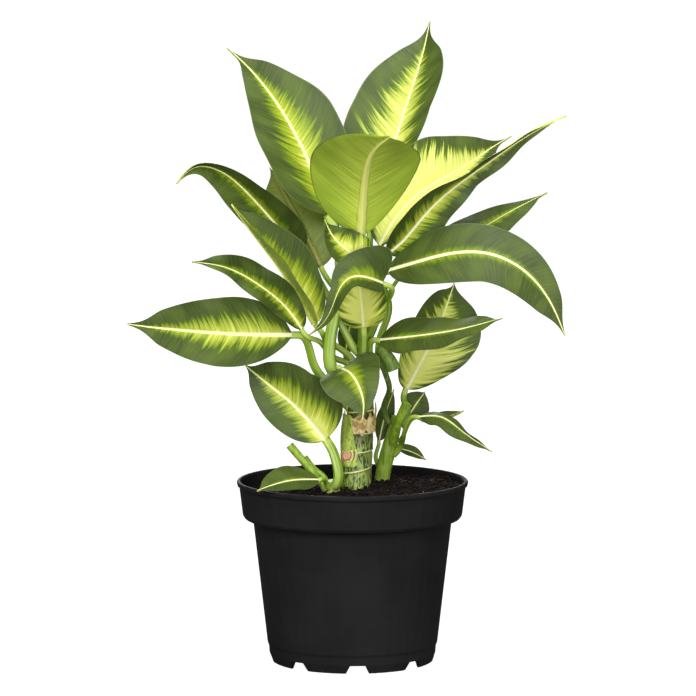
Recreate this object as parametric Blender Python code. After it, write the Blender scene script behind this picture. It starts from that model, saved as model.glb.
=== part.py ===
"""Potted dieffenbachia: a black nursery pot, its soil, three stems and their leaves.

Metres, +Z up. The origin is the centre of the pot's foot, on the surface it stands on, and the
front of the plant faces -Y. Each leaf is one solid, blade and stalk together, because it grew so.
"""

import math

import bmesh
import bpy
import numpy as np

MM = 0.001
# Gap left between solids that rest on each other
SEAT_GAP = 0.3 * MM

# Pot: a moulded shell, 170 mm over its rim, on a skirt with drain channels open through it. Its
# profiles are radii and heights in millimetres.
POT_OUTSIDE = (
    (58.0, 0.0), (59.4, 0.7), (61.2, 6.5), (61.6, 12.0), (62.6, 14.2), (72.9, 103.2), (73.9, 104.8),
    (79.1, 106.6), (80.7, 108.8), (83.3, 129.8), (84.7, 130.6), (85.0, 131.6), (85.0, 133.2), (84.3, 134.0),
)
POT_INSIDE = (
    (82.9, 134.0), (82.1, 132.8), (79.5, 110.4), (78.1, 108.4), (72.6, 106.4), (71.7, 104.2), (61.6, 15.2),
    (60.2, 12.6), (59.8, 8.4),
)
SKIRT_INSIDE = ((56.2, 6.8), (56.4, 0.0))
FLOOR_TOP = 8.4 * MM
FLOOR_UNDERSIDE = 6.8 * MM
CHANNELS = 8
CHANNEL_BEARING = math.radians(-86.5)
CHANNEL_FOOT_WIDTH = 18 * MM
CHANNEL_TOP_WIDTH = 11 * MM
CHANNEL_HEIGHT = 6.2 * MM
DRAIN_SLOT = (16 * MM, 3.6 * MM)
DRAIN_SLOT_RADIUS = 40 * MM
POT_SEGMENTS = 48
FOOT_REACH_INSIDE = 50 * MM
FOOT_REACH_OUTSIDE = 70 * MM

# Soil: a plug that fills the pot to a little below its rim, higher where the stems stand
SOIL_LEVEL = 126 * MM
SOIL_SLOPE = 0.045
MOUND_HEIGHT = 4 * MM
MOUND_RADIUS = 35 * MM
MOUND_MIDDLE = (5 * MM, -5 * MM)
LUMP_HEIGHT = 0.8 * MM
SOIL_RINGS = (0.2, 0.42, 0.64, 0.84, 1.0)
SOIL_SEGMENTS = 24
SOIL_CLEARANCE = 0.6 * MM
SOIL_SIDE = ((59.0, 8.8), (61.0, 16.0), (70.9, 104.2), (72.0, 107.2), (77.6, 109.4), (78.8, 111.2))

# Stems: points of each axis and the radius there, in millimetres, from the buried end up
STEMS = {
    "main_cane": (
        (1, -7, 98, 11.6), (2, -7, 128, 11.6), (4, -5, 157, 10.8), (6, -2, 188, 9.6),
        (8, 1, 206, 7.0), (9, 3, 232, 5.6), (9, 4, 262, 4.4), (8, 4, 282, 3.2),
    ),
    "right_shoot": ((20, 26, 102, 5.4), (22, 25, 132, 5.6), (28, 23, 158, 5.4), (33, 20, 178, 4.2)),
    "left_shoot": ((-13, -22, 102, 5.0), (-14, -22, 126, 5.6), (-15, -23, 137, 4.4)),
}
STEM_SIDES = 12
STEM_RINGS = 16
STALK_SIDES = 8
CUT_STALK_RINGS = 5
# How a stalk leaves its seat, outwards and up, and how far; how straight it runs into its blade
STALK_RISE = (0.5, 0.86)
STALK_START = 7 * MM
CUT_STALK_START = 6 * MM
NECK_RUN = 0.2
NECK_RUN_LONGEST = 6 * MM
ROLLED_RINGS = 11

# Leaf sections: shares of the blade's length, and how many sections its stalk has
BLADE_STATIONS = (0.04, 0.12, 0.24, 0.38, 0.53, 0.68, 0.82, 0.93, 1.0)
STALK_STATIONS = 6
BLADE_THICKNESS = 0.9 * MM
TIP_RADIUS = 0.35 * MM
STALK_RADII = (3.2, 2.1)
FRONT = (0, -1, 0)


def leaf(stem, at, rib, half_width, **more):
    """One leaf, in millimetres and degrees.

    stem and at: the stem that carries it and the height of its seat there. turn: the seat's
    bearing, where it isn't the neck's. via: points that the stalk passes. rib: points of the
    midrib from the blade's base to its tip. roll: how far the upper side is turned about the
    midrib, towards its right, from facing the way called toward. fold: how far each half is
    lifted from the midrib; curl: how much further it turns by the margin. wave: the height,
    number and phase of the margin's ripples. trim: how much wider or narrower than the plain
    outline. A roll, fold, curl or trim is a number, or numbers spaced evenly from base to tip; all
    but the roll may be given for each half. stalk: its radii.
    """
    return dict(stem=stem, at=at, rib=rib, half_width=half_width, **more)


LEAVES = {
    "leaf_top_left": leaf(
        "main_cane", 202, ((-17, 15, 329), (-33, 25, 368), (-66, 55, 421), (-88, 74, 444)), 35,
        turn=226, via=((-13, -16, 215), (-17, -18, 232), (-12, -15, 262)), stalk=(5.2, 3.6), roll=27,
        fold=26, curl=-10,
        trim={"left": (1.4, 1, 0.6), "right": (1, 1, 0.8)},
    ),
    "leaf_top": leaf(
        "main_cane", 266, ((18, 48, 334), (34, 73, 385), (50, 103, 432), (58, 122, 458)), 36,
        roll=-30, fold=30, curl=-10, stalk=(3.0, 2.4),
        trim={"left": (1.2, 1.1, 1.2), "right": (0.6, 0.8, 1.6)},
    ),
    "leaf_top_front": leaf(
        "main_cane", 272, ((6, -28, 318), (9, -58, 362), (15, -92, 386), (27, -122, 398)), 46,
        turn=-95, toward=(0, 0.5, 1), fold=12, base=0.5, stalk=(3.0, 3.0),
        trim={"left": (0.5, 0.9, 0.9), "right": (0.8, 0.9, 1.1)},
    ),
    "leaf_right_back": leaf(
        "main_cane", 252, ((20, 14, 306), (32, 20, 326), (52, 30, 345), (78, 45, 359), (114, 69, 381)), 33,
        roll=-30, fold=35, curl=-20, peak=0.5, point=1.5, stalk=(3.0, 2.2),
        trim={"left": 1, "right": (1, 0.8, 0.8)},
    ),
    "leaf_right_long": leaf(
        "main_cane", 246,
        ((26, -5, 302), (36, -9, 311), (50, -14, 328), (65, -17, 344), (80, -17, 356), (104, -14, 373),
         (134, -6, 392), (156, 0, 402)), 23,
        roll=40, fold={"left": (8, 12, 35, 35, 35), "right": 35}, peak=0.28, point=2,
        trim={"left": (1, 0.8, 1.3), "right": (1, 0.5, 1)},
    ),
    "leaf_right_small": leaf(
        "main_cane", 238, ((66, 44, 296), (110, 75, 321), (146, 100, 337)), 18,
        turn=40, via=((26, 20, 268), (44, 34, 287)), stalk=(1.7, 1.4), roll=-60, fold=-8,
        trim={"left": (2.2, 1.5, 0.4), "right": (1, 1, 0.6)},
    ),
    "leaf_right_arching": leaf(
        "main_cane", 214,
        ((26, -9, 290), (49, -20, 298), (74, -30, 305), (100, -38, 305), (126, -44, 292), (143, -47, 271),
         (154, -50, 246)), 23,
        via=((20, -10, 240), (26, -10, 268)), stalk=(2.8, 2.4), roll=(-40, -10), fold=5, peak=0.5, point=0.9,
        trim={"left": (1.2, 0.9, 0.6), "right": (1.4, 1, 0.9)},
    ),
    "leaf_right_level": leaf(
        "main_cane", 198, ((20, -16, 240), (50, -38, 246), (76, -54, 252), (108, -75, 263)), 20,
        roll=(-45, -62, -65, -65), fold=-5,
        trim={"left": (1.6, 0.9, 1), "right": (0.9, 0.9, 1)},
    ),
    "leaf_right_upright": leaf(
        "right_shoot", 172, ((40, 12, 200), (51, 6, 222), (61, 8, 242), (69, 14, 261), (75, 24, 277)), 32,
        turn=10, roll=20, fold=18, base=0.5, stalk=(2.8, 2.2),
        trim={"left": (0.6, 0.8, 1.1), "right": (0.5, 1, 1.8)},
    ),
    "leaf_right_low": leaf(
        "right_shoot", 150, ((49, -4, 182), (65, -14, 183), (80, -24, 174), (102, -34, 160)), 11,
        turn=-25, via=((38, 5, 169),),
        roll=-62, fold=-17, stalk=(2.4, 1.6), trim={"left": (1, 0.8, 0.5), "right": 1},
    ),
    "leaf_right_low_back": leaf(
        "right_shoot", 158, ((51, 16, 178), (66, 18, 178), (82, 20, 183)), 6,
        turn=-10, roll=-70, fold=20, stalk=(1.8, 1.4),
    ),
    "leaf_right_round": leaf(
        "right_shoot", 166, ((42, 31, 178), (48, 34, 187), (54, 36, 195)), 11,
        turn=60, roll=0, fold=10, stalk=(1.8, 1.4),
    ),
    "leaf_right_lowest": leaf(
        "right_shoot", 138, ((33, 34, 153), (43, 38, 150), (55, 42, 143)), 5,
        turn=60, roll=-40, fold=10, stalk=(1.5, 1.2),
    ),
    "leaf_right_inner": leaf(
        "right_shoot", 140, ((20, 36, 158), (24, 38, 176), (31, 40, 196)), 7,
        turn=130, roll=20, fold=10, stalk=(1.8, 1.4),
    ),
    "leaf_upper_left": leaf(
        "main_cane", 228,
        ((-38, -6, 302), (-58, -15, 327), (-77, -24, 349), (-93, -30, 363), (-114, -40, 368),
         (-127, -48, 357)), 22,
        roll=5, fold={"left": 35, "right": (35, 60, 80)}, point=1.3,
        trim={"left": (0.9, 1, 1.2), "right": (1.4, 0.9, 0.7)},
    ),
    "leaf_left_long": leaf(
        "main_cane", 218, ((-26, -20, 252), (-53, -32, 296), (-74, -40, 324), (-87, -44, 342)), 24,
        turn=170, via=((-16, 2, 235),), stalk=(2.8, 2.0), roll=60, fold=45,
    ),
    "leaf_left_wavy": leaf(
        "main_cane", 213,
        ((-37, -27, 249), (-48, -33, 265), (-68, -42, 283), (-91, -48, 296), (-116, -54, 301)), 17,
        turn=180, via=((-12, -2, 224), (-25, -16, 239)), stalk=(2.6, 1.8),
        roll=15, fold=35, wave=(3, 3, 0),
        trim={"left": (0.8, 0.8, 0.6), "right": (1, 0.9, 1.2)},
    ),
    "leaf_left_level": leaf(
        "main_cane", 189, ((-44, -22, 244), (-87, -40, 247), (-131, -54, 252), (-158, -64, 256)), 29,
        turn=195, via=((-28, -10, 220),), stalk=(3.6, 2.8),
        roll=12, fold=14, base=0.75, point=0.8,
        trim={"left": (0.8, 0.9, 0.8), "right": (1.1, 0.9, 0.8)},
    ),
    "leaf_low_left": leaf(
        "left_shoot", 134,
        ((-20, -24, 167), (-34, -25, 184), (-46, -25, 196), (-60, -24, 207), (-79, -20, 222)), 27,
        turn=-60, via=((-12, -28, 152),), stalk=(3.9, 3.4), roll=-8, fold=15,
        trim={"left": (0.8, 0.8, 0.9), "right": (1.6, 1.1, 1.4)},
    ),
    "leaf_front": leaf(
        "main_cane", 190, ((-8, -34, 221), (0, -52, 218), (6, -64, 208), (8, -70, 199), (7, -74, 188)), 26,
        turn=268, via=((4, -24, 207),), stalk=(2.8, 2.2),
        toward=(0, -0.6, 1), fold={"left": 30, "right": 8}, curl=-15, base=0.45,
        trim={"left": (1.3, 0.7, 0.4), "right": 1},
    ),
    "leaf_centre_inner": leaf(
        "main_cane", 208, ((8, -26, 250), (7, -32, 265), (5, -30, 284), (4, -21, 298)), 21,
        fold=30, stalk=(2.8, 2.4),
    ),
    "leaf_centre_arch": leaf(
        "main_cane", 240,
        ((22, -49, 285), (10, -56, 290), (-2, -60, 290), (-9, -62, 283), (-14, -62, 271), (-20, -61, 259),
         (-32, -57, 248)), 24,
        turn=-60, via=((20, -22, 262),), stalk=(2.6, 2.0), roll=30, fold=30, peak=0.22, base=0.35, point=1.5,
        trim={"left": (0.6, 0.6, 0.8), "right": (1.4, 0.3, 0.5)},
    ),
    "leaf_centre_left": leaf(
        "main_cane", 250,
        ((16, -36, 294), (7, -41, 301), (-7, -45, 311), (-15, -47, 320), (-20, -50, 331)), 16,
        turn=-95, via=((12, -22, 277),), roll=30, fold=20, stalk=(2.4, 2.0),
        trim={"left": (1.3, 1, 1.3), "right": 1},
    ),
    "leaf_behind_left": leaf(
        "main_cane", 246, ((-23, 12, 290), (-34, 20, 312), (-48, 32, 338), (-61, 46, 360)), 28,
        turn=125, stalk=(2.6, 2.0), roll=180, fold=10,
    ),
    "leaf_inner_back": leaf(
        "main_cane", 212, ((-5, 16, 226), (-3, 18, 240), (1, 18, 258)), 9,
        turn=110, roll=20, fold=10, stalk=(1.8, 1.5),
    ),
    "leaf_soil_left": leaf(
        "left_shoot", 132, ((-25, -37, 140), (-44, -48, 141), (-69, -66, 136)), 14,
        toward=(0, -0.7, 1), fold=8, stalk=(1.8, 1.6),
    ),
}

# Stalks left where leaves were cut off: the stem, the seat's height and bearing, the way and the radii
CUT_STALKS = {
    "cut_stalk_left": ("left_shoot", 130, 190, ((-33, -24, 148), (-46, -22, 163)), (2.6, 3.0)),
    "cut_stalk_left_back": ("left_shoot", 132, 130, ((-27, -12, 143), (-35, -8, 152)), (2.0, 2.4)),
    "cut_stalk_right": ("right_shoot", 158, -75, ((34, 8, 176), (40, 4, 190)), (2.8, 3.8)),
}

# A leaf rolled into a horn: its way from its seat over to its open end, with its radii
ROLLED_SEAT = ("right_shoot", 174, 200)
ROLLED_WAY = ((27, -2, 201), (22, -14, 221), (21, -20, 232), (25, -25, 229), (30, -27, 219))
ROLLED_RADII = (2.4, 2.2, 2.0, 2.2, 3.8, 5.6)
ROLL_DEPTH = 13 * MM

# The dried sheath of a fallen leaf, wrapped round the front of the cane
SHEATH_FOOT = 169 * MM
SHEATH_TOP = 185.5 * MM
SHEATH_THICKNESS = 0.9 * MM
SHEATH_FLARE = 1.2 * MM
SHEATH_ARC = (-200, 20)

COLOURS = {
    "pot": ((0.012, 0.012, 0.013), 0.42),
    "soil": ((0.045, 0.028, 0.018), 0.95),
    "cane": ((0.30, 0.36, 0.14), 0.55),
    "shoot": ((0.22, 0.38, 0.06), 0.5),
    "leaf": ((0.10, 0.24, 0.03), 0.38),
    "dried": ((0.55, 0.42, 0.22), 0.8),
}


# ---------------------------------------------------------------- curves and frames


def spline(points, count=60):
    """A natural cubic spline through the points, sampled evenly along its length."""
    p = np.asarray(points, float)
    n = len(p)
    t = np.concatenate([[0.0], np.cumsum(np.linalg.norm(np.diff(p, axis=0), axis=1))])
    h = np.diff(t)
    rows = np.zeros((n, n))
    rhs = np.zeros((n, p.shape[1]))
    rows[0, 0] = rows[-1, -1] = 1.0
    for i in range(1, n - 1):
        rows[i, i - 1 : i + 2] = h[i - 1], 2 * (h[i - 1] + h[i]), h[i]
        rhs[i] = 6 * ((p[i + 1] - p[i]) / h[i] - (p[i] - p[i - 1]) / h[i - 1])
    m = np.linalg.solve(rows, rhs)
    s = np.linspace(0, t[-1], 8 * count)
    k = np.clip(np.searchsorted(t, s, side="right") - 1, 0, n - 2)
    a = ((t[k + 1] - s) / h[k])[:, None]
    b = 1 - a
    bend = ((a**3 - a) * m[k] + (b**3 - b) * m[k + 1]) * h[k][:, None] ** 2 / 6
    return resample(a * p[k] + b * p[k + 1] + bend, np.linspace(0, 1, count))


def resample(line, shares):
    """Points at these shares of a polyline's length."""
    d = np.concatenate([[0.0], np.cumsum(np.linalg.norm(np.diff(line[:, :3], axis=0), axis=1))])
    columns = [np.interp(np.asarray(shares) * d[-1], d, line[:, i]) for i in range(line.shape[1])]
    return np.stack(columns, axis=1)


def unit(vectors):
    v = np.asarray(vectors, float)
    return v / np.linalg.norm(v, axis=-1, keepdims=True)


def tangents(line):
    return unit(np.gradient(line, axis=0))


def square_to(vectors, tangent):
    """The vectors with their part along the tangent taken off, at unit length."""
    return unit(vectors - (vectors * tangent).sum(-1, keepdims=True) * tangent)


def spread(value, u):
    """A number, or numbers spaced evenly from the blade's base to its tip, read at each share u."""
    v = np.atleast_1d(np.asarray(value, float))
    return np.interp(u, np.linspace(0, 1, len(v)), v) if len(v) > 1 else np.full(len(u), v[0])


def stem_at(name, height):
    """A stem's axis point and radius at a height, in metres."""
    line = spline(STEMS[name])
    return np.array([np.interp(height, line[:, 2], line[:, i]) for i in range(4)]) * MM


def stem_seat(name, height, bearing, reach):
    """A point just off a stem's side, clear of it over a reach up and down, and the way out."""
    out = np.array([math.cos(bearing), math.sin(bearing), 0.0])
    middle = stem_at(name, height)
    furthest = 0.0
    for z in (height - reach, height, height + reach):
        here = stem_at(name, z)
        furthest = max(furthest, (here[:3] - middle[:3]) @ out + here[3])
    return middle[:3] + out * (furthest + SEAT_GAP), out


def rise(out):
    """The way a stalk sets off from its seat, given the way straight out of the stem."""
    return STALK_RISE[0] * out + STALK_RISE[1] * np.array([0.0, 0.0, 1.0])


# ---------------------------------------------------------------- leaf surface


def outline(u, peak, base, point):
    """Half-width of a blade as a share of its widest, from its base at 0 to its tip at 1."""
    low = np.clip((peak - u) / peak, 0, 1)
    high = np.clip((u - peak) / (1 - peak), 0, 1)
    return np.where(u < peak, (1 - low**2) ** base, (1 - high**2) ** point)


def blade_frame(spec, shares):
    """Midrib points, tangents, side and face directions and half-widths at shares of the blade."""
    u = np.asarray(shares, float)
    line = spline(np.array(spec["rib"]) * MM)
    even = np.linspace(0, 1, len(line))
    tan = tangents(line)
    centre = resample(line, u)
    t = unit(np.stack([np.interp(u, even, tan[:, i]) for i in range(3)], axis=1))
    front = square_to(np.array(spec.get("toward", FRONT), float), t)
    roll = np.radians(spread(spec.get("roll", 0), u))[:, None]
    n = front * np.cos(roll) + np.cross(t, front) * np.sin(roll)
    shape = outline(u, spec.get("peak", 0.42), spec.get("base", 0.6), spec.get("point", 1.2))
    return centre, t, np.cross(t, n), n, spec["half_width"] * MM * shape


def blade_points(spec, shares, v):
    """Points on the blade's upper side, and its slope there, at one share v of the half-width.

    Looking from base to tip with the face up, v runs from -1 at the left margin to 1 at the right.
    """
    u = np.asarray(shares, float)
    centre, _, side, n, half = blade_frame(spec, u)
    sign, reach = math.copysign(1, v), abs(v)
    half = half * spread(of_half(spec.get("trim", 1.0), sign), u)
    fold = np.radians(spread(of_half(spec.get("fold", 12), sign), u))
    curl = np.radians(spread(of_half(spec.get("curl", 0), sign), u))
    steps = (np.arange(8) + 0.5) / 8
    angles = fold[:, None] + curl[:, None] * reach * steps
    across = np.cos(angles).mean(1) * reach * half
    height, count, phase = spec.get("wave", (0, 3, 0))
    turn = 2 * math.pi * (count * u + phase) + 1.3 * (v > 0)
    ripple = height * MM * reach**2 * np.sin(turn) * np.sqrt(np.sin(math.pi * np.clip(u, 0, 1)))
    up = np.sin(angles).mean(1) * reach * half + ripple
    slope = fold + curl * reach
    local = n * np.cos(slope)[:, None] - sign * side * np.sin(slope)[:, None]
    return centre + sign * side * across[:, None] + n * up[:, None], local


def of_half(value, sign):
    return value["right" if sign > 0 else "left"] if isinstance(value, dict) else value


# ---------------------------------------------------------------- leaf solid


def stalk_line(spec):
    """The stalk's centreline from its seat to the blade, and the way it leaves its seat."""
    centre, t, _, _, _ = blade_frame(spec, [0.0])
    neck, lead = centre[0], t[0]
    if spec["stem"] is None:
        x, y = (value * MM for value in spec["foot"])
        seat = np.array([x, y, soil_height(x, y) + 2 * SEAT_GAP])
        out = np.array([0.0, 0.0, 1.0])
    else:
        x, y, _, _ = stem_at(spec["stem"], spec["at"])
        bearing = math.radians(spec["turn"]) if "turn" in spec else math.atan2(neck[1] - y, neck[0] - x)
        seat, out = stem_seat(spec["stem"], spec["at"], bearing, spec.get("stalk", STALK_RADII)[0])
    away = seat + rise(out) * STALK_START
    via = [np.array(p) * MM for p in spec.get("via", ())]
    span = np.linalg.norm(neck - away)
    run = min(NECK_RUN * span, NECK_RUN_LONGEST)
    line = spline([seat, away, *via, neck - lead * run, neck])
    return line, out


def leaf_rings(spec):
    """The leaf's cross-sections from the stalk's seat to the blade's tip, ten points each."""
    seat_r, neck_r = (r * MM for r in spec.get("stalk", STALK_RADII))
    line, out = stalk_line(spec)
    shares = np.linspace(0, 1, STALK_STATIONS)
    centres = resample(line, shares)
    even = np.linspace(0, 1, len(line))
    tan = tangents(line)
    ways = unit(np.stack([np.interp(shares, even, tan[:, i]) for i in range(3)], axis=1))
    _, t0, side0, n0, _ = blade_frame(spec, [0.0])
    ways[-1] = t0[0]
    face = [n0[0]]
    for way in ways[-2::-1]:
        face.append(square_to(face[-1], way))
    face = np.array(face[::-1])
    angles = np.radians([180, 135, 90, 45, 0, -45, -90, -135])
    rings = []
    for i, share in enumerate(shares):
        radius = seat_r + (neck_r - seat_r) * share**0.8
        side, up = np.cross(ways[i], face[i]), face[i]
        if i == 0:
            side, up = square_to(np.cross(ways[1], face[1]), out), square_to(face[1], out)
            side = square_to(side, up)
        rings.append(centres[i] + radius * (np.outer(np.cos(angles), side) + np.outer(np.sin(angles), up)))
    u = np.array(BLADE_STATIONS)
    tops = {v: blade_points(spec, u, v) for v in (-1.0, -0.5, 0.5, 1.0)}
    centre, _, side, n, half = blade_frame(spec, u)
    rib = neck_r + (0.5 * MM - neck_r) * u**0.7
    thick = BLADE_THICKNESS
    for i in range(len(u) - 1):
        mid_left, mid_right = tops[-0.5], tops[0.5]
        ring = (
            tops[-1.0][0][i], mid_left[0][i], centre[i], mid_right[0][i], tops[1.0][0][i],
            mid_right[0][i] - mid_right[1][i] * thick,
            centre[i] - n[i] * (thick + 1.2 * rib[i]),
            mid_left[0][i] - mid_left[1][i] * thick,
        )
        rings.append(np.array(ring))
    circle = np.outer(np.cos(angles), side[-1]) + np.outer(np.sin(angles), n[-1])
    rings.append(centre[-1] + TIP_RADIUS * circle)
    return np.array(rings)


def loft(rings):
    """Vertices and faces of a closed solid through rings of points, capped at both ends."""
    count, sides, _ = rings.shape
    faces = []
    for i in range(count - 1):
        for j in range(sides):
            k = (j + 1) % sides
            a, b = i * sides, (i + 1) * sides
            faces.append((a + j, a + k, b + k, b + j))
    faces.append(tuple(range(sides))[::-1])
    faces.append(tuple(range((count - 1) * sides, count * sides)))
    return rings.reshape(-1, 3), faces


def tube_rings(line, sides, swell=0.0):
    """Rings of points round a line whose fourth column is its radius."""
    tan = tangents(line[:, :3])
    a = np.linspace(0, 2 * math.pi, sides, endpoint=False)
    side = square_to(np.array([1.0, 0.3, 0.1]), tan[0])
    rings = []
    for point, way in zip(line, tan):
        side = square_to(side, way)
        up = np.cross(way, side)
        rings.append(point[:3] + (point[3] + swell) * (np.outer(np.cos(a), side) + np.outer(np.sin(a), up)))
    return np.array(rings)


def stem_rings(name, swell=0.0):
    return tube_rings(spline(STEMS[name], STEM_RINGS) * MM, STEM_SIDES, swell)


def seated_line(stem, height, bearing, points, radius):
    """A line from a seat on a stem through the points, and the way it leaves the stem."""
    seat, out = stem_seat(stem, height, math.radians(bearing), radius)
    return spline([seat, seat + rise(out) * CUT_STALK_START, *(np.array(points) * MM)]), out


def upright_start(rings, out):
    """Turns the first ring so that it lies flat against the stem."""
    middle = rings[0].mean(0)
    radius = np.linalg.norm(rings[0][0] - middle)
    rings[0] = middle + radius * square_to(rings[0] - middle, out)
    return rings


# ---------------------------------------------------------------- Blender objects


def clear_scene():
    for item in list(bpy.data.objects):
        bpy.data.objects.remove(item, do_unlink=True)


def material(name):
    colour, roughness = COLOURS[name]
    made = bpy.data.materials.new(name)
    made.use_nodes = True
    shader = made.node_tree.nodes["Principled BSDF"]
    shader.inputs["Base Color"].default_value = (*colour, 1)
    shader.inputs["Roughness"].default_value = roughness
    shader.inputs["Metallic"].default_value = 0.0
    return made


def add_solid(name, vertices, faces, look):
    mesh = bpy.data.meshes.new(name)
    mesh.from_pydata([tuple(v) for v in vertices], [], faces)
    shape = bmesh.new()
    shape.from_mesh(mesh)
    bmesh.ops.recalc_face_normals(shape, faces=shape.faces)
    if shape.calc_volume(signed=True) < 0:
        bmesh.ops.reverse_faces(shape, faces=shape.faces)
    shape.to_mesh(mesh)
    shape.free()
    mesh.materials.append(material(look))
    mesh.shade_smooth()
    mesh.set_sharp_from_angle(angle=math.radians(40))
    made = bpy.data.objects.new(name, mesh)
    bpy.context.scene.collection.objects.link(made)
    return made


def cut(target, cutters, name):
    """Subtracts the cutters, which stay in the file as guides."""
    for index, cutter in enumerate(cutters):
        cutter.hide_render = True
        cutter.display_type = "WIRE"
        step = target.modifiers.new(f"{name}_{index}", "BOOLEAN")
        step.operation = "DIFFERENCE"
        step.solver = "EXACT"
        step.object = cutter


def lathe(profile, segments):
    """Vertices and faces of a closed profile turned about the Z axis."""
    a = np.linspace(0, 2 * math.pi, segments, endpoint=False)
    rings = [np.stack([r * np.cos(a), r * np.sin(a), np.full(segments, z)], axis=1) for r, z in profile]
    return loft(np.array(rings))


# ---------------------------------------------------------------- pieces


def build_pot():
    profile = [(r * MM, z * MM) for r, z in SKIRT_INSIDE + POT_OUTSIDE + POT_INSIDE]
    pot = add_solid("pot", *lathe(profile, POT_SEGMENTS), "pot")
    cut(pot, [channel_cutter(i) for i in range(CHANNELS)], "channel")
    cut(pot, [drain_cutter(i) for i in range(CHANNELS)], "drain")


def channel_cutter(index):
    """A tapered bar through the skirt, wider at the ground."""
    bearing = CHANNEL_BEARING + 2 * math.pi * index / CHANNELS
    out = np.array([math.cos(bearing), math.sin(bearing), 0.0])
    side = np.array([-out[1], out[0], 0.0])
    rings = []
    for reach in (FOOT_REACH_INSIDE, FOOT_REACH_OUTSIDE):
        ring = []
        for half, z in (
            (-CHANNEL_FOOT_WIDTH / 2, -1 * MM),
            (CHANNEL_FOOT_WIDTH / 2, -1 * MM),
            (CHANNEL_TOP_WIDTH / 2, CHANNEL_HEIGHT),
            (-CHANNEL_TOP_WIDTH / 2, CHANNEL_HEIGHT),
        ):
            ring.append(out * reach + side * half + np.array([0, 0, z]))
        rings.append(ring)
    return add_solid(f"channel_cutter_{index}", *loft(np.array(rings)), "pot")


def drain_cutter(index):
    """A bar for one drain slot in the floor, between two channels."""
    bearing = CHANNEL_BEARING + 2 * math.pi * (index + 0.5) / CHANNELS
    out = np.array([math.cos(bearing), math.sin(bearing), 0.0])
    side = np.array([-out[1], out[0], 0.0])
    rings = []
    for z in (FLOOR_UNDERSIDE - 2 * MM, FLOOR_TOP + 2 * MM):
        ring = []
        for a, b in ((-0.5, -0.5), (0.5, -0.5), (0.5, 0.5), (-0.5, 0.5)):
            point = out * (DRAIN_SLOT_RADIUS + a * DRAIN_SLOT[0]) + side * b * DRAIN_SLOT[1]
            ring.append(point + np.array([0, 0, z]))
        rings.append(ring)
    return add_solid(f"drain_cutter_{index}", *loft(np.array(rings)), "pot")


def soil_height(x, y):
    """The soil's surface: a slope to the right, a mound at the stems and gentle lumps."""
    away = math.hypot(x - MOUND_MIDDLE[0], y - MOUND_MIDDLE[1]) / MOUND_RADIUS
    lumps = math.sin(x * 170 + 1) * math.cos(y * 150) + math.sin(x * 90 - y * 110)
    return SOIL_LEVEL + SOIL_SLOPE * x + MOUND_HEIGHT * math.exp(-(away**2)) + LUMP_HEIGHT * lumps


def wall_radius(z):
    """The pot's inner radius at a height."""
    r, h = zip(*((r * MM, z * MM) for r, z in POT_INSIDE[::-1]))
    return float(np.interp(z, h, r))


def build_soil():
    a = np.linspace(0, 2 * math.pi, SOIL_SEGMENTS, endpoint=False)
    edge_radius = wall_radius(SOIL_LEVEL) - SOIL_CLEARANCE
    rings = []
    for radius, z in SOIL_SIDE:
        rings.append([(radius * MM * math.cos(t), radius * MM * math.sin(t), z * MM) for t in a])
    for share in SOIL_RINGS[::-1]:
        ring = []
        for t in a:
            x, y = share * edge_radius * math.cos(t), share * edge_radius * math.sin(t)
            ring.append((x, y, soil_height(x, y)))
        rings.append(ring)
    soil = add_solid("soil", *loft(np.array(rings)), "soil")
    cutters = []
    for name in STEMS:
        cutters.append(add_solid(f"{name}_socket", *loft(stem_rings(name, SEAT_GAP)), "soil"))
    cut(soil, cutters, "socket")


def build_stems():
    for name in STEMS:
        look = "cane" if name == "main_cane" else "shoot"
        add_solid(name, *loft(stem_rings(name)), look)


def build_leaves():
    for name, spec in LEAVES.items():
        add_solid(name, *loft(leaf_rings(spec)), "leaf")


def build_cut_stalks():
    for name, (stem, height, bearing, points, radii) in CUT_STALKS.items():
        line, out = seated_line(stem, height, bearing, points, radii[0])
        line = resample(line, np.linspace(0, 1, CUT_STALK_RINGS))
        radius = np.linspace(*radii, CUT_STALK_RINGS)[:, None] * MM
        rings = tube_rings(np.hstack([line, radius]), STALK_SIDES)
        add_solid(name, *loft(upright_start(rings, out)), "shoot")


def build_rolled_leaf():
    line, out = seated_line(*ROLLED_SEAT, ROLLED_WAY, ROLLED_RADII[0])
    shares = np.linspace(0, 1, ROLLED_RINGS)
    line = resample(line, shares)
    radius = spread(ROLLED_RADII, shares)[:, None] * MM
    outside = upright_start(tube_rings(np.hstack([line, radius]), STALK_SIDES), out)
    length = np.linalg.norm(np.diff(line, axis=0), axis=1).sum()
    inner = np.linspace(1, 1 - ROLL_DEPTH / length, 4)
    hollow = resample(np.hstack([line, radius - BLADE_THICKNESS]), inner)
    inside = tube_rings(hollow, STALK_SIDES)
    add_solid("leaf_right_rolled", *loft(np.concatenate([outside, match_turn(inside, outside[-1])])), "leaf")


def match_turn(rings, last):
    """Turns the point order of rings so that they start beside the last ring's first point."""
    order = rings[:, ::-1]
    start = np.argmin(np.linalg.norm(order[0] - last[0], axis=1))
    order = np.roll(order, -start, axis=1)
    if np.linalg.norm(order[0][1] - last[1]) > np.linalg.norm(order[0][-1] - last[1]):
        order = np.roll(order[:, ::-1], 1, axis=1)
    return order


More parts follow.
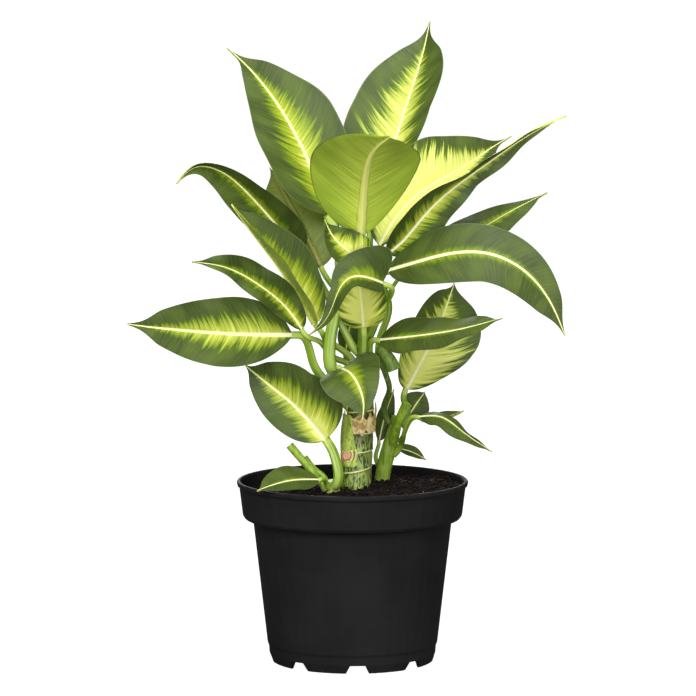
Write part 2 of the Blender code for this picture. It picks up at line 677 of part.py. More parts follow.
def build_sheath():
    """A thin band round part of the cane, with a ragged, flared top edge."""
    start, end = np.radians(SHEATH_ARC)
    bearings = np.linspace(start, end, 14)
    rings = []
    for index, t in enumerate(bearings):
        way = np.array([math.cos(t), math.sin(t), 0.0])
        top = SHEATH_TOP - (2.5 * MM if index % 2 else 0.0)
        ring = []
        outside = ((top, SHEATH_THICKNESS), (SHEATH_FOOT, SHEATH_THICKNESS))
        for z, depth in ((SHEATH_FOOT, 0.0), (top, 0.0), *outside):
            x, y, _, radius = stem_at("main_cane", z / MM)
            flare = SHEATH_FLARE * (z - SHEATH_FOOT) / (SHEATH_TOP - SHEATH_FOOT)
            ring.append(np.array([x, y, z]) + way * (radius + SEAT_GAP + flare + depth))
        rings.append(ring)
    add_solid("dried_sheath", *loft(np.array(rings)), "dried")


def main():
    clear_scene()
    build_pot()
    build_soil()
    build_stems()
    build_leaves()
    build_cut_stalks()
    build_rolled_leaf()
    build_sheath()


if __name__ == "__main__":
    main()
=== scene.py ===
"""Looks of the potted dieffenbachia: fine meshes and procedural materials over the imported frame.

Metres, +Z up, the plant's front towards -Y. Lengths in the tables are millimetres.
"""

import math
import random

import bpy
import numpy as np
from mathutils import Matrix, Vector, noise

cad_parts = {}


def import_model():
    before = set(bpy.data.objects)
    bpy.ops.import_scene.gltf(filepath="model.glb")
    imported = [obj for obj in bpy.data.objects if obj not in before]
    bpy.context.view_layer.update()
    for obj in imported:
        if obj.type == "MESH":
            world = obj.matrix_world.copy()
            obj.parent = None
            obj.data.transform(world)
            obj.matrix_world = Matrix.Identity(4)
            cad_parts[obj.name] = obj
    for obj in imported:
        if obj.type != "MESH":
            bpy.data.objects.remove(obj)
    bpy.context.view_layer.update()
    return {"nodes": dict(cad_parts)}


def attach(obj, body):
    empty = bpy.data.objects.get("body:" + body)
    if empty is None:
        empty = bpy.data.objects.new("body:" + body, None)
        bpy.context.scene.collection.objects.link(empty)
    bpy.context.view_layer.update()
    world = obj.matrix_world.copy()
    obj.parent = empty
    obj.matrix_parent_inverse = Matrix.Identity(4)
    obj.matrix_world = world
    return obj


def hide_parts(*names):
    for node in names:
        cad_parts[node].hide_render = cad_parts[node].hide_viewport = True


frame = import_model()

MM = 0.001
SEAT_GAP = 0.3 * MM
FRONT = (0, -1, 0)
STALK_RADII = (3.2, 2.1)
BLADE_THICKNESS = 0.8 * MM

# ---------------------------------------------------------------- the plant's measures, as in the CAD


def leaf(stem, at, rib, half_width, **more):
    """One leaf: its stem and seat height, its midrib from base to tip and its half-width."""
    return dict(stem=stem, at=at, rib=rib, half_width=half_width, **more)


STEMS = {
    "main_cane": (
        (1, -7, 98, 11.6), (2, -7, 128, 11.6), (4, -5, 157, 10.8), (6, -2, 188, 9.6),
        (8, 1, 206, 7.0), (9, 3, 232, 5.6), (9, 4, 262, 4.4), (8, 4, 282, 3.2),
    ),
    "right_shoot": ((20, 26, 102, 5.4), (22, 25, 132, 5.6), (28, 23, 158, 5.4), (33, 20, 178, 4.2)),
    "left_shoot": ((-13, -22, 102, 5.0), (-14, -22, 126, 5.6), (-15, -23, 137, 4.4)),
}

LEAVES = {
    "leaf_top_left": leaf(
        "main_cane", 202, ((-17, 15, 329), (-33, 25, 368), (-66, 55, 421), (-88, 74, 444)), 35,
        turn=226, via=((-13, -16, 215), (-17, -18, 232), (-12, -15, 262)), stalk=(5.2, 3.6), roll=27,
        fold=26, curl=-10,
        trim={"left": (1.4, 1, 0.6), "right": (1, 1, 0.8)},
    ),
    "leaf_top": leaf(
        "main_cane", 266, ((18, 48, 334), (34, 73, 385), (50, 103, 432), (58, 122, 458)), 36,
        roll=-30, fold=30, curl=-10, stalk=(3.0, 2.4),
        trim={"left": (1.2, 1.1, 1.2), "right": (0.6, 0.8, 1.6)},
    ),
    "leaf_top_front": leaf(
        "main_cane", 272, ((6, -28, 318), (9, -58, 362), (15, -92, 386), (27, -122, 398)), 46,
        turn=-95, toward=(0, 0.5, 1), fold=12, base=0.5, stalk=(3.0, 3.0),
        trim={"left": (0.5, 0.9, 0.9), "right": (0.8, 0.9, 1.1)},
    ),
    "leaf_right_back": leaf(
        "main_cane", 252, ((20, 14, 306), (32, 20, 326), (52, 30, 345), (78, 45, 359), (114, 69, 381)), 33,
        roll=-30, fold=35, curl=-20, peak=0.5, point=1.5, stalk=(3.0, 2.2),
        trim={"left": 1, "right": (1, 0.8, 0.8)},
    ),
    "leaf_right_long": leaf(
        "main_cane", 246,
        ((26, -5, 302), (36, -9, 311), (50, -14, 328), (65, -17, 344), (80, -17, 356), (104, -14, 373),
         (134, -6, 392), (156, 0, 402)), 23,
        roll=40, fold={"left": (8, 12, 35, 35, 35), "right": 35}, peak=0.28, point=2,
        trim={"left": (1, 0.8, 1.3), "right": (1, 0.5, 1)},
    ),
    "leaf_right_small": leaf(
        "main_cane", 238, ((66, 44, 296), (110, 75, 321), (146, 100, 337)), 18,
        turn=40, via=((26, 20, 268), (44, 34, 287)), stalk=(1.7, 1.4), roll=-60, fold=-8,
        trim={"left": (2.2, 1.5, 0.4), "right": (1, 1, 0.6)},
    ),
    "leaf_right_arching": leaf(
        "main_cane", 214,
        ((26, -9, 290), (49, -20, 298), (74, -30, 305), (100, -38, 305), (126, -44, 292), (143, -47, 271),
         (154, -50, 246)), 23,
        via=((20, -10, 240), (26, -10, 268)), stalk=(2.8, 2.4), roll=(-40, -10), fold=5, peak=0.5, point=0.9,
        trim={"left": (1.2, 0.9, 0.6), "right": (1.4, 1, 0.9)},
    ),
    "leaf_right_level": leaf(
        "main_cane", 198, ((20, -16, 240), (50, -38, 246), (76, -54, 252), (108, -75, 263)), 20,
        roll=(-45, -62, -65, -65), fold=-5,
        trim={"left": (1.6, 0.9, 1), "right": (0.9, 0.9, 1)},
    ),
    "leaf_right_upright": leaf(
        "right_shoot", 172, ((40, 12, 200), (51, 6, 222), (61, 8, 242), (69, 14, 261), (75, 24, 277)), 32,
        turn=10, roll=20, fold=18, base=0.5, stalk=(2.8, 2.2),
        trim={"left": (0.6, 0.8, 1.1), "right": (0.5, 1, 1.8)},
    ),
    "leaf_right_low": leaf(
        "right_shoot", 150, ((49, -4, 182), (65, -14, 183), (80, -24, 174), (102, -34, 160)), 11,
        turn=-25, via=((38, 5, 169),),
        roll=-62, fold=-17, stalk=(2.4, 1.6), trim={"left": (1, 0.8, 0.5), "right": 1},
    ),
    "leaf_right_low_back": leaf(
        "right_shoot", 158, ((51, 16, 178), (66, 18, 178), (82, 20, 183)), 6,
        turn=-10, roll=-70, fold=20, stalk=(1.8, 1.4),
    ),
    "leaf_right_round": leaf(
        "right_shoot", 166, ((42, 31, 178), (48, 34, 187), (54, 36, 195)), 11,
        turn=60, roll=0, fold=10, stalk=(1.8, 1.4),
    ),
    "leaf_right_lowest": leaf(
        "right_shoot", 138, ((33, 34, 153), (43, 38, 150), (55, 42, 143)), 5,
        turn=60, roll=-40, fold=10, stalk=(1.5, 1.2),
    ),
    "leaf_right_inner": leaf(
        "right_shoot", 140, ((20, 36, 158), (24, 38, 176), (31, 40, 196)), 7,
        turn=130, roll=20, fold=10, stalk=(1.8, 1.4),
    ),
    "leaf_upper_left": leaf(
        "main_cane", 228,
        ((-38, -6, 302), (-58, -15, 327), (-77, -24, 349), (-93, -30, 363), (-114, -40, 368),
         (-127, -48, 357)), 22,
        roll=5, fold={"left": 35, "right": (35, 60, 80)}, point=1.3,
        trim={"left": (0.9, 1, 1.2), "right": (1.4, 0.9, 0.7)},
    ),
    "leaf_left_long": leaf(
        "main_cane", 218, ((-26, -20, 252), (-53, -32, 296), (-74, -40, 324), (-87, -44, 342)), 24,
        turn=170, via=((-16, 2, 235),), stalk=(2.8, 2.0), roll=60, fold=45,
    ),
    "leaf_left_wavy": leaf(
        "main_cane", 213,
        ((-37, -27, 249), (-48, -33, 265), (-68, -42, 283), (-91, -48, 296), (-116, -54, 301)), 17,
        turn=180, via=((-12, -2, 224), (-25, -16, 239)), stalk=(2.6, 1.8),
        roll=15, fold=35, wave=(3, 3, 0),
        trim={"left": (0.8, 0.8, 0.6), "right": (1, 0.9, 1.2)},
    ),
    "leaf_left_level": leaf(
        "main_cane", 189, ((-44, -22, 244), (-87, -40, 247), (-131, -54, 252), (-158, -64, 256)), 29,
        turn=195, via=((-28, -10, 220),), stalk=(3.6, 2.8),
        roll=12, fold=14, base=0.75, point=0.8,
        trim={"left": (0.8, 0.9, 0.8), "right": (1.1, 0.9, 0.8)},
    ),
    "leaf_low_left": leaf(
        "left_shoot", 134,
        ((-20, -24, 167), (-34, -25, 184), (-46, -25, 196), (-60, -24, 207), (-79, -20, 222)), 27,
        turn=-60, via=((-12, -28, 152),), stalk=(3.9, 3.4), roll=-8, fold=15,
        trim={"left": (0.8, 0.8, 0.9), "right": (1.6, 1.1, 1.4)},
    ),
    "leaf_front": leaf(
        "main_cane", 190, ((-8, -34, 221), (0, -52, 218), (6, -64, 208), (8, -70, 199), (7, -74, 188)), 26,
        turn=268, via=((4, -24, 207),), stalk=(2.8, 2.2),
        toward=(0, -0.6, 1), fold={"left": 30, "right": 8}, curl=-15, base=0.45,
        trim={"left": (1.3, 0.7, 0.4), "right": 1},
    ),
    "leaf_centre_inner": leaf(
        "main_cane", 208, ((8, -26, 250), (7, -32, 265), (5, -30, 284), (4, -21, 298)), 21,
        fold=30, stalk=(2.8, 2.4),
    ),
    "leaf_centre_arch": leaf(
        "main_cane", 240,
        ((22, -49, 285), (10, -56, 290), (-2, -60, 290), (-9, -62, 283), (-14, -62, 271), (-20, -61, 259),
         (-32, -57, 248)), 24,
        turn=-60, via=((20, -22, 262),), stalk=(2.6, 2.0), roll=30, fold=30, peak=0.22, base=0.35, point=1.5,
        trim={"left": (0.6, 0.6, 0.8), "right": (1.4, 0.3, 0.5)},
    ),
    "leaf_centre_left": leaf(
        "main_cane", 250,
        ((16, -36, 294), (7, -41, 301), (-7, -45, 311), (-15, -47, 320), (-20, -50, 331)), 16,
        turn=-95, via=((12, -22, 277),), roll=30, fold=20, stalk=(2.4, 2.0),
        trim={"left": (1.3, 1, 1.3), "right": 1},
    ),
    "leaf_behind_left": leaf(
        "main_cane", 246, ((-23, 12, 290), (-34, 20, 312), (-48, 32, 338), (-61, 46, 360)), 28,
        turn=125, stalk=(2.6, 2.0), roll=180, fold=10,
    ),
    "leaf_inner_back": leaf(
        "main_cane", 212, ((-5, 16, 226), (-3, 18, 240), (1, 18, 258)), 9,
        turn=110, roll=20, fold=10, stalk=(1.8, 1.5),
    ),
    "leaf_soil_left": leaf(
        "left_shoot", 132, ((-25, -37, 140), (-44, -48, 141), (-69, -66, 136)), 14,
        toward=(0, -0.7, 1), fold=8, stalk=(1.8, 1.6),
    ),
}

CUT_STALKS = {
    "cut_stalk_left": ("left_shoot", 130, 190, ((-33, -24, 148), (-46, -22, 163)), (2.6, 3.0)),
    "cut_stalk_left_back": ("left_shoot", 132, 130, ((-27, -12, 143), (-35, -8, 152)), (2.0, 2.4)),
    "cut_stalk_right": ("right_shoot", 158, -75, ((34, 8, 176), (40, 4, 190)), (2.8, 3.8)),
}

ROLLED_SEAT = ("right_shoot", 174, 200)
ROLLED_WAY = ((27, -2, 201), (22, -14, 221), (21, -20, 232), (25, -25, 229), (30, -27, 219))
ROLLED_RADII = (2.4, 2.2, 2.0, 2.2, 3.8, 5.6)
ROLL_DEPTH = 13

SHEATH_FOOT = 169 * MM
SHEATH_TOP = 185.5 * MM
SHEATH_ARC = (-200, 20)

SOIL_LEVEL = 126 * MM
SOIL_EDGE = 81.0 * MM

# ---------------------------------------------------------------- what each leaf looks like

# spread: how far the pale centre reaches towards the margin; pale: how light it is, and below -0.2 it
# paints shade: the underside is darkened as if in the shadow of the leaves in front; rib: the
# midrib's width in mm; wave: the margin's ripples, where the CAD gives none
LOOKS = {
    "leaf_top_left": dict(spread=0.46, pale=0.1, rib=2.6, wave=(1.3, 3.3, 0.2), hook=(-5, 0, 3)),
    "leaf_top": dict(spread=0.62, pale=0.35, rib=2.4, wave=(0.8, 2.6, 0.5), hook=(0, 0, 6)),
    "leaf_top_front": dict(spread=0.5, pale=0.1, rib=2.6, wave=(0.8, 2.2, 0.1)),
    "leaf_right_back": dict(spread=0.95, pale=0.55, rib=2.0, wave=(1.2, 3.1, 0.7), hook=(4, 0, 1)),
    "leaf_right_long": dict(spread=0.5, pale=0.2, rib=2.2, wave=(1.0, 4.2, 0.3)),
    "leaf_right_small": dict(spread=0.3, pale=-0.1, rib=0.9, wave=(0.6, 2.8, 0.4)),
    "leaf_right_arching": dict(spread=0.16, pale=0.0, rib=2.2, wave=(1.0, 2.4, 0.6)),
    "leaf_right_level": dict(spread=0.16, pale=-0.1, rib=1.6, wave=(1.0, 3.0, 0.9)),
    "leaf_right_upright": dict(spread=0.9, pale=0.42, rib=2.2, wave=(1.0, 2.2, 0.0)),
    "leaf_right_low": dict(spread=0.2, pale=0.0, rib=1.6, wave=(0.8, 2.5, 0.2)),
    "leaf_right_low_back": dict(spread=0.2, pale=-0.1, rib=0.8),
    "leaf_right_round": dict(spread=0.1, pale=-0.2, rib=0.8),
    "leaf_right_lowest": dict(spread=0.1, pale=-0.2, rib=0.6),
    "leaf_right_inner": dict(spread=0.1, pale=-0.2, rib=0.6),
    "leaf_upper_left": dict(spread=0.28, pale=0.0, rib=2.2, wave=(0.8, 3.4, 0.1)),
    "leaf_left_long": dict(
        spread=0.45, pale=0.1, rib=1.6, wave=(0.8, 2.6, 0.8), flame=(2.0, 1.8, 1.2, 0.8, 0.6, 0.3, -0.2),
    ),
    "leaf_left_wavy": dict(spread=0.4, pale=0.0, rib=1.6, flame=(1.8, 1.3, 0.9, 0.7, 0.5, 0.2, -0.2)),
    "leaf_left_level": dict(spread=0.5, pale=0.25, rib=2.8, wave=(1.0, 3.6, 0.4), hook=(-5, 0, 1)),
    "leaf_low_left": dict(
        spread=0.45, pale=0.25, rib=2.6, wave=(0.7, 2.4, 0.9),
        flame=(2.2, 1.6, 1.1, 0.95, 0.85, 0.6, 0.3, -0.2),
    ),
    "leaf_front": dict(spread=0.3, pale=0.0, rib=1.8, wave=(0.8, 2.0, 0.3)),
    "leaf_centre_inner": dict(spread=1.1, pale=0.3, rib=2.0, wave=(0.6, 2.0, 0.5)),
    "leaf_centre_arch": dict(
        spread=0.3, pale=0.1, rib=(1.6, 1.6, 0.6, 0.2, 0.2), wave=(0.5, 2.4, 0.6),
        flame=(0.3, 0.9, 1.2, 0.3, -0.3, -0.4),
    ),
    "leaf_centre_left": dict(spread=0.85, pale=0.2, rib=1.8, wave=(1.0, 2.6, 0.2)),
    # pale -0.5 here is painted shade: it darkens this leaf's underside
    "leaf_behind_left": dict(spread=0.2, pale=-0.5, rib=1.0, wave=(0.8, 2.6, 0.2)),
    "leaf_inner_back": dict(spread=0.15, pale=-0.2, rib=1.0),
    "leaf_soil_left": dict(spread=0.12, pale=-0.1, rib=1.3, wave=(0.5, 2.0, 0.2)),
}

BLADE_RINGS = 60
HALF_COLUMNS = 12
STALK_RINGS = 26

# ---------------------------------------------------------------- curves and frames


def spline(points, count=60):
    """A natural cubic spline through the points, sampled evenly along its length."""
    p = np.asarray(points, float)
    n = len(p)
    t = np.concatenate([[0.0], np.cumsum(np.linalg.norm(np.diff(p, axis=0), axis=1))])
    h = np.diff(t)
    rows = np.zeros((n, n))
    rhs = np.zeros((n, p.shape[1]))
    rows[0, 0] = rows[-1, -1] = 1.0
    for i in range(1, n - 1):
        rows[i, i - 1 : i + 2] = h[i - 1], 2 * (h[i - 1] + h[i]), h[i]
        rhs[i] = 6 * ((p[i + 1] - p[i]) / h[i] - (p[i] - p[i - 1]) / h[i - 1])
    m = np.linalg.solve(rows, rhs)
    s = np.linspace(0, t[-1], 8 * count)
    k = np.clip(np.searchsorted(t, s, side="right") - 1, 0, n - 2)
    a = ((t[k + 1] - s) / h[k])[:, None]
    b = 1 - a
    bend = ((a**3 - a) * m[k] + (b**3 - b) * m[k + 1]) * h[k][:, None] ** 2 / 6
    return resample(a * p[k] + b * p[k + 1] + bend, np.linspace(0, 1, count))


def resample(line, shares):
    """Points at these shares of a polyline's length."""
    d = np.concatenate([[0.0], np.cumsum(np.linalg.norm(np.diff(line[:, :3], axis=0), axis=1))])
    columns = [np.interp(np.asarray(shares) * d[-1], d, line[:, i]) for i in range(line.shape[1])]
    return np.stack(columns, axis=1)


def length_of(line):
    return np.linalg.norm(np.diff(line[:, :3], axis=0), axis=1).sum()


def unit(vectors):
    v = np.asarray(vectors, float)
    return v / np.linalg.norm(v, axis=-1, keepdims=True)


def tangents(line):
    return unit(np.gradient(line, axis=0))


def square_to(vectors, tangent):
    """The vectors with their part along the tangent taken off, at unit length."""
    return unit(vectors - (vectors * tangent).sum(-1, keepdims=True) * tangent)


def spread_over(value, u):
    """A number, or numbers spaced evenly from the blade's base to its tip, read at each share u."""
    v = np.atleast_1d(np.asarray(value, float))
    return np.interp(u, np.linspace(0, 1, len(v)), v) if len(v) > 1 else np.full(len(u), v[0])


def smooth(low, high, x):
    t = np.clip((x - low) / (high - low), 0, 1)
    return t * t * (3 - 2 * t)


def stem_at(name, height):
    """A stem's axis point and radius at a height, in metres."""
    line = spline(STEMS[name])
    return np.array([np.interp(height, line[:, 2], line[:, i]) for i in range(4)]) * MM


def stem_seat(name, height, bearing, reach):
    """A point just off a stem's side, clear of it over a reach up and down, and the way out."""
    out = np.array([math.cos(bearing), math.sin(bearing), 0.0])
    middle = stem_at(name, height)
    furthest = 0.0
    for z in (height - reach, height, height + reach):
        here = stem_at(name, z)
        furthest = max(furthest, (here[:3] - middle[:3]) @ out + here[3])
    return middle[:3] + out * (furthest + SEAT_GAP), out


def soil_height(x, y):
    """The soil's surface: a slope to the right, a mound at the stems and gentle lumps."""
    away = math.hypot(x - 5 * MM, y + 5 * MM) / (35 * MM)
    lumps = math.sin(x * 170 + 1) * math.cos(y * 150) + math.sin(x * 90 - y * 110)
    return SOIL_LEVEL + 0.045 * x + 4 * MM * math.exp(-(away**2)) + 0.8 * MM * lumps


# ---------------------------------------------------------------- leaf shape


def outline(u, peak, base, point):
    """Half-width as a share of the widest: the CAD's, drawn in to a fine drip tip."""
    low = np.clip((peak - u) / peak, 0, 1)
    high = np.clip((u - peak) / (1 - peak), 0, 1)
    plain = np.where(u < peak, (1 - low**2) ** base, (1 - high**2) ** point)
    return plain * (1 - 0.55 * smooth(0.84, 0.97, u))


def blade_frame(spec, u):
    """Midrib points, tangents, side and face directions and half-widths at shares of the blade."""
    line = spline(np.array(spec["rib"]) * MM, 120)
    even = np.linspace(0, 1, len(line))
    tan = tangents(line)
    centre = resample(line, u)
    t = unit(np.stack([np.interp(u, even, tan[:, i]) for i in range(3)], axis=1))
    front = square_to(np.array(spec.get("toward", FRONT), float), t)
    roll = np.radians(spread_over(spec.get("roll", 0), u))[:, None]
    n = front * np.cos(roll) + np.cross(t, front) * np.sin(roll)
    half = spec["half_width"] * MM * outline(
        u, spec.get("peak", 0.42), spec.get("base", 0.6), spec.get("point", 1.2)
    )
    return centre, t, np.cross(t, n), n, half


def of_half(value, sign):
    return value["right" if sign > 0 else "left"] if isinstance(value, dict) else value


def blade_column(spec, look, u, v, frames):
    """Points on the upper side at one share v of the half-width, and the slope there."""
    centre, side, n, half = frames
    sign, reach = math.copysign(1, v), abs(v)
    fold = np.radians(spread_over(of_half(spec.get("fold", 12), sign), u))
    curl = np.radians(spread_over(of_half(spec.get("curl", 0), sign), u))
    steps = (np.arange(8) + 0.5) / 8
    angles = fold[:, None] + curl[:, None] * reach * steps
    across = np.cos(angles).mean(1) * reach * half
    height, count, phase = spec.get("wave", look.get("wave", (0.3, 2, 0)))
    turn = 2 * math.pi * (count * u + phase) + 1.3 * (v > 0)
    ripple = height * MM * reach**2 * np.sin(turn) * np.sqrt(np.sin(math.pi * np.clip(u, 0, 1)))
    groove = 0.5 * MM * (1 - u) ** 0.6 * np.exp(-((reach * half / (1.3 * MM)) ** 2))
    up = np.sin(angles).mean(1) * reach * half + ripple - groove
    slope = fold + curl * reach
    local = n * np.cos(slope)[:, None] - sign * side * np.sin(slope)[:, None]
    return centre + sign * side * across[:, None] + n * up[:, None], local


def stalk_line(spec):
    """The stalk's centreline from its seat to the blade, and the way it leaves its seat."""
    centre, t, _, _, _ = blade_frame(spec, np.array([0.0, 1.0]))
    neck, lead = centre[0], t[0]
    if spec["stem"] is None:
        x, y = (value * MM for value in spec["foot"])
        seat = np.array([x, y, soil_height(x, y) + 2 * SEAT_GAP])
        out = np.array([0.0, 0.0, 1.0])
    else:
        x, y, _, _ = stem_at(spec["stem"], spec["at"])
        bearing = math.radians(spec["turn"]) if "turn" in spec else math.atan2(neck[1] - y, neck[0] - x)
        seat, out = stem_seat(spec["stem"], spec["at"], bearing, spec.get("stalk", STALK_RADII)[0])
    away = seat + (out * 0.5 + np.array([0, 0, 0.86])) * 7 * MM
    via = [np.array(p) * MM for p in spec.get("via", ())]
    span = np.linalg.norm(neck - away)
    line = spline([seat, away, *via, neck - lead * 0.2 * min(span, 30 * MM), neck], 120)
    return line, out


def leaf_envelope(u):
    """How far the pale centre reaches, as a share of its widest, along the blade."""
    rise = 0.72 + 0.28 * smooth(0.0, 0.25, u)
    fall = np.clip(1 - (np.clip(u - 0.28, 0, 1) / 0.66) ** 1.6, -0.35, 1)
    return rise * fall


def blade_rings(spec, look, neck):
    """The blade's cross-sections, all the way round, with what the materials read at each point."""
    u = np.concatenate([[0.003, 0.009], np.linspace(0.018, 1, BLADE_RINGS - 2) ** 1.05])
    u[-1] = 0.998
    right = (np.arange(HALF_COLUMNS + 1) / HALF_COLUMNS) ** 1.35
    columns = np.concatenate([-right[:0:-1], right])
    centre, _, side, n, half = blade_frame(spec, u)
    centre = centre + np.outer(
        np.clip((u - 0.84) / 0.16, 0, 1) ** 2, np.array(look.get("hook", (0, 0, 0))) * MM
    )
    length = length_of(spline(np.array(spec["rib"]) * MM))
    ridge = (neck * (1 - u) ** 0.75 + 0.25 * MM)
    width = spread_over(look["rib"], u) * MM * 0.5 * (1 - u) ** 0.55 + 0.12 * MM
    envelope = spread_over(look["flame"], u) if "flame" in look else leaf_envelope(u)
    seed = look["seed"]
    upper, lower = [], []
    for v in columns:
        trim = spread_over(of_half(spec.get("trim", 1.0), math.copysign(1, v)), u)
        mine = np.maximum(half * trim, 0.35 * MM)
        top, local = blade_column(spec, look, u, v, (centre, side, n, mine))
        y = abs(v) * mine
        bulge = np.sqrt(np.clip(1 - (y / ridge) ** 2, 0, 1)) * ridge * 1.5
        thick = BLADE_THICKNESS * (1 - 0.6 * abs(v) ** 4)
        bottom = top - local * thick - n * bulge[:, None]
        s = (u * length - 0.45 * y - 9.0 * y**2) / MM
        shared = (s, np.sign(v) * y / MM, look["spread"] * envelope - abs(v))
        habit = (
            np.full(len(u), seed), np.full(len(u), look["pale"]),
            look["spread"] * (0.4 + 0.6 * np.clip(envelope, 0, 1)),
        )
        upper.append((top, shared, habit, (u, np.full(len(u), abs(v)), y / width)))
        lower.append((
            bottom, shared, habit,
            (u, np.full(len(u), abs(v)), y / np.maximum(ridge * 0.95, 0.4 * MM)),
        ))
    around = upper + lower[-2:0:-1]
    points = np.stack([item[0] for item in around], axis=1)
    reads = [np.stack([np.stack(item[k], axis=1) for item in around], axis=1) for k in (1, 2, 3)]
    return points, reads


def stalk_rings(spec, neck, sides):
    """The stalk's cross-sections, grooved above, from its seat to the blade."""
    seat_r, neck_r = (r * MM for r in spec.get("stalk", STALK_RADII))
    line, out = stalk_line(spec)
    shares = np.linspace(0, 1, STALK_RINGS)
    centres = resample(line, shares)
    even = np.linspace(0, 1, len(line))
    tan = tangents(line)
    ways = unit(np.stack([np.interp(shares, even, tan[:, i]) for i in range(3)], axis=1))
    _, t0, _, n0, _ = blade_frame(spec, np.array([0.0, 1.0]))
    ways[-1] = t0[0]
    face = [n0[0]]
    for way in ways[-2::-1]:
        face.append(square_to(face[-1], way))
    face = np.array(face[::-1])
    half_sides = sides // 2
    angles = np.radians(np.concatenate([
        180 - 180 * np.arange(half_sides) / half_sides, -180 * np.arange(half_sides) / half_sides
    ]))
    rings = []
    for i, share in enumerate(shares):
        radius = seat_r + (neck_r - seat_r) * share**0.8
        side, up = np.cross(ways[i], face[i]), face[i]
        if i == 0:
            side, up = square_to(np.cross(ways[1], face[1]), out), square_to(face[1], out)
            side = square_to(side, up)
        groove = 0.3 * np.exp(-(((angles - math.pi / 2) / 0.5) ** 2)) * smooth(0.1, 0.4, share)
        r = radius * (1 - groove)[:, None]
        sink = neck * 0.9 * smooth(0.86, 1.0, share)
        ring = centres[i] - up * sink + r * (np.outer(np.cos(angles), side) + np.outer(np.sin(angles), up))
        rings.append(ring)
    return np.array(rings), shares * length_of(line) / MM, angles


def build_leaf(name, spec, materials):
    """One leaf as a single closed mesh: stalk, upper side and underside."""
    look = LOOKS[name]
    look["seed"] = 3.7 * (1 + list(LEAVES).index(name))
    neck = spec.get("stalk", STALK_RADII)[1] * MM
    points, (shared, habit, form) = blade_rings(spec, look, neck)
    sides = points.shape[1]
    stalk, lengths, angles = stalk_rings(spec, neck, sides)
    count = len(stalk)
    rings = np.concatenate([stalk, points])
    total = len(rings)

    def before(values, x):
        extra = np.repeat(values[:1], count, axis=0).copy()
        extra[..., 0] += x
        return np.concatenate([extra, values])

    zeros = np.zeros((count, sides))
    shared = before(shared, (lengths - lengths[-1])[:, None])
    habit = before(habit, zeros)
    form = before(form, zeros)
    blade_length = np.linspace(0, 1, len(points))[:, None] * 60
    along = np.concatenate([
        np.repeat(lengths[:, None], sides, 1), lengths[-1] + blade_length + np.zeros((1, sides))
    ])
    stalk_read = np.stack([along, np.cos(angles) + 0 * along, np.sin(angles) + 0 * along], axis=2)
    share = np.concatenate([
        np.repeat((lengths / lengths[-1])[:, None], sides, 1), np.ones((len(points), sides))
    ])
    faces, slots = [], []
    for i in range(total - 1):
        for j in range(sides):
            k = (j + 1) % sides
            a, b = i * sides, (i + 1) * sides
            faces.append((a + j, a + k, b + k, b + j))
            slots.append(2 if i < count - 1 else (0 if j < sides // 2 else 1))
    faces.append(tuple(range(sides))[::-1])
    slots.append(2)
    faces.append(tuple(range((total - 1) * sides, total * sides)))
    slots.append(1)
    made = add_mesh(name + "_look", rings.reshape(-1, 3), faces, materials, slots)
    mesh = made.data
    put(mesh, "blade", shared)
    put(mesh, "habit", habit)
    put(mesh, "form", form)
    put(mesh, "stalk", stalk_read)
    put(mesh, "share", np.stack([share, share, share], axis=2))
    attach(made, "root")
    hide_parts(name)
    return made


# ---------------------------------------------------------------- meshes


def put(mesh, name, values):
    layer = mesh.attributes.new(name, "FLOAT_VECTOR", "POINT")
    layer.data.foreach_set("vector", np.asarray(values, np.float32).ravel())


def looks_inwards(mesh):
    """True if the closed mesh's faces look inwards, by its signed volume."""
    mesh.calc_loop_triangles()
    points = np.empty(len(mesh.vertices) * 3)
    mesh.vertices.foreach_get("co", points)
    corners = np.empty(len(mesh.loop_triangles) * 3, int)
    mesh.loop_triangles.foreach_get("vertices", corners)
    a, b, c = points.reshape(-1, 3)[corners].reshape(-1, 3, 3).transpose(1, 0, 2)
    return (a * np.cross(b, c)).sum() < 0


def add_mesh(name, points, faces, materials, slots=None, sharp=40):
    mesh = bpy.data.meshes.new(name)
    mesh.from_pydata([tuple(p) for p in points], [], faces)
    for item in materials:
        mesh.materials.append(item)
    if slots is not None:
        mesh.polygons.foreach_set("material_index", slots)
    if looks_inwards(mesh):
        mesh.flip_normals()
    mesh.shade_smooth()
    mesh.set_sharp_from_angle(angle=math.radians(sharp))
    made = bpy.data.objects.new(name, mesh)
    bpy.context.scene.collection.objects.link(made)
    return made


def loft(rings, caps=True):
    """Vertices and faces of a surface through rings of points."""
    count, sides, _ = rings.shape
    faces = []
    for i in range(count - 1):
        for j in range(sides):
            k = (j + 1) % sides
            a, b = i * sides, (i + 1) * sides
            faces.append((a + j, a + k, b + k, b + j))
    if caps:
        faces.append(tuple(range(sides))[::-1])
        faces.append(tuple(range((count - 1) * sides, count * sides)))
    return rings.reshape(-1, 3), faces


def tube_rings(line, sides):
    """Rings of points round a line whose fourth column is its radius."""
    tan = tangents(line[:, :3])
    a = np.linspace(0, 2 * math.pi, sides, endpoint=False)
    side = square_to(np.array([1.0, 0.3, 0.1]), tan[0])
    rings = []
    for point, way in zip(line, tan):
        side = square_to(side, way)
        up = np.cross(way, side)
        rings.append(point[:3] + point[3] * (np.outer(np.cos(a), side) + np.outer(np.sin(a), up)))
    return np.array(rings)


# ---------------------------------------------------------------- material nodes


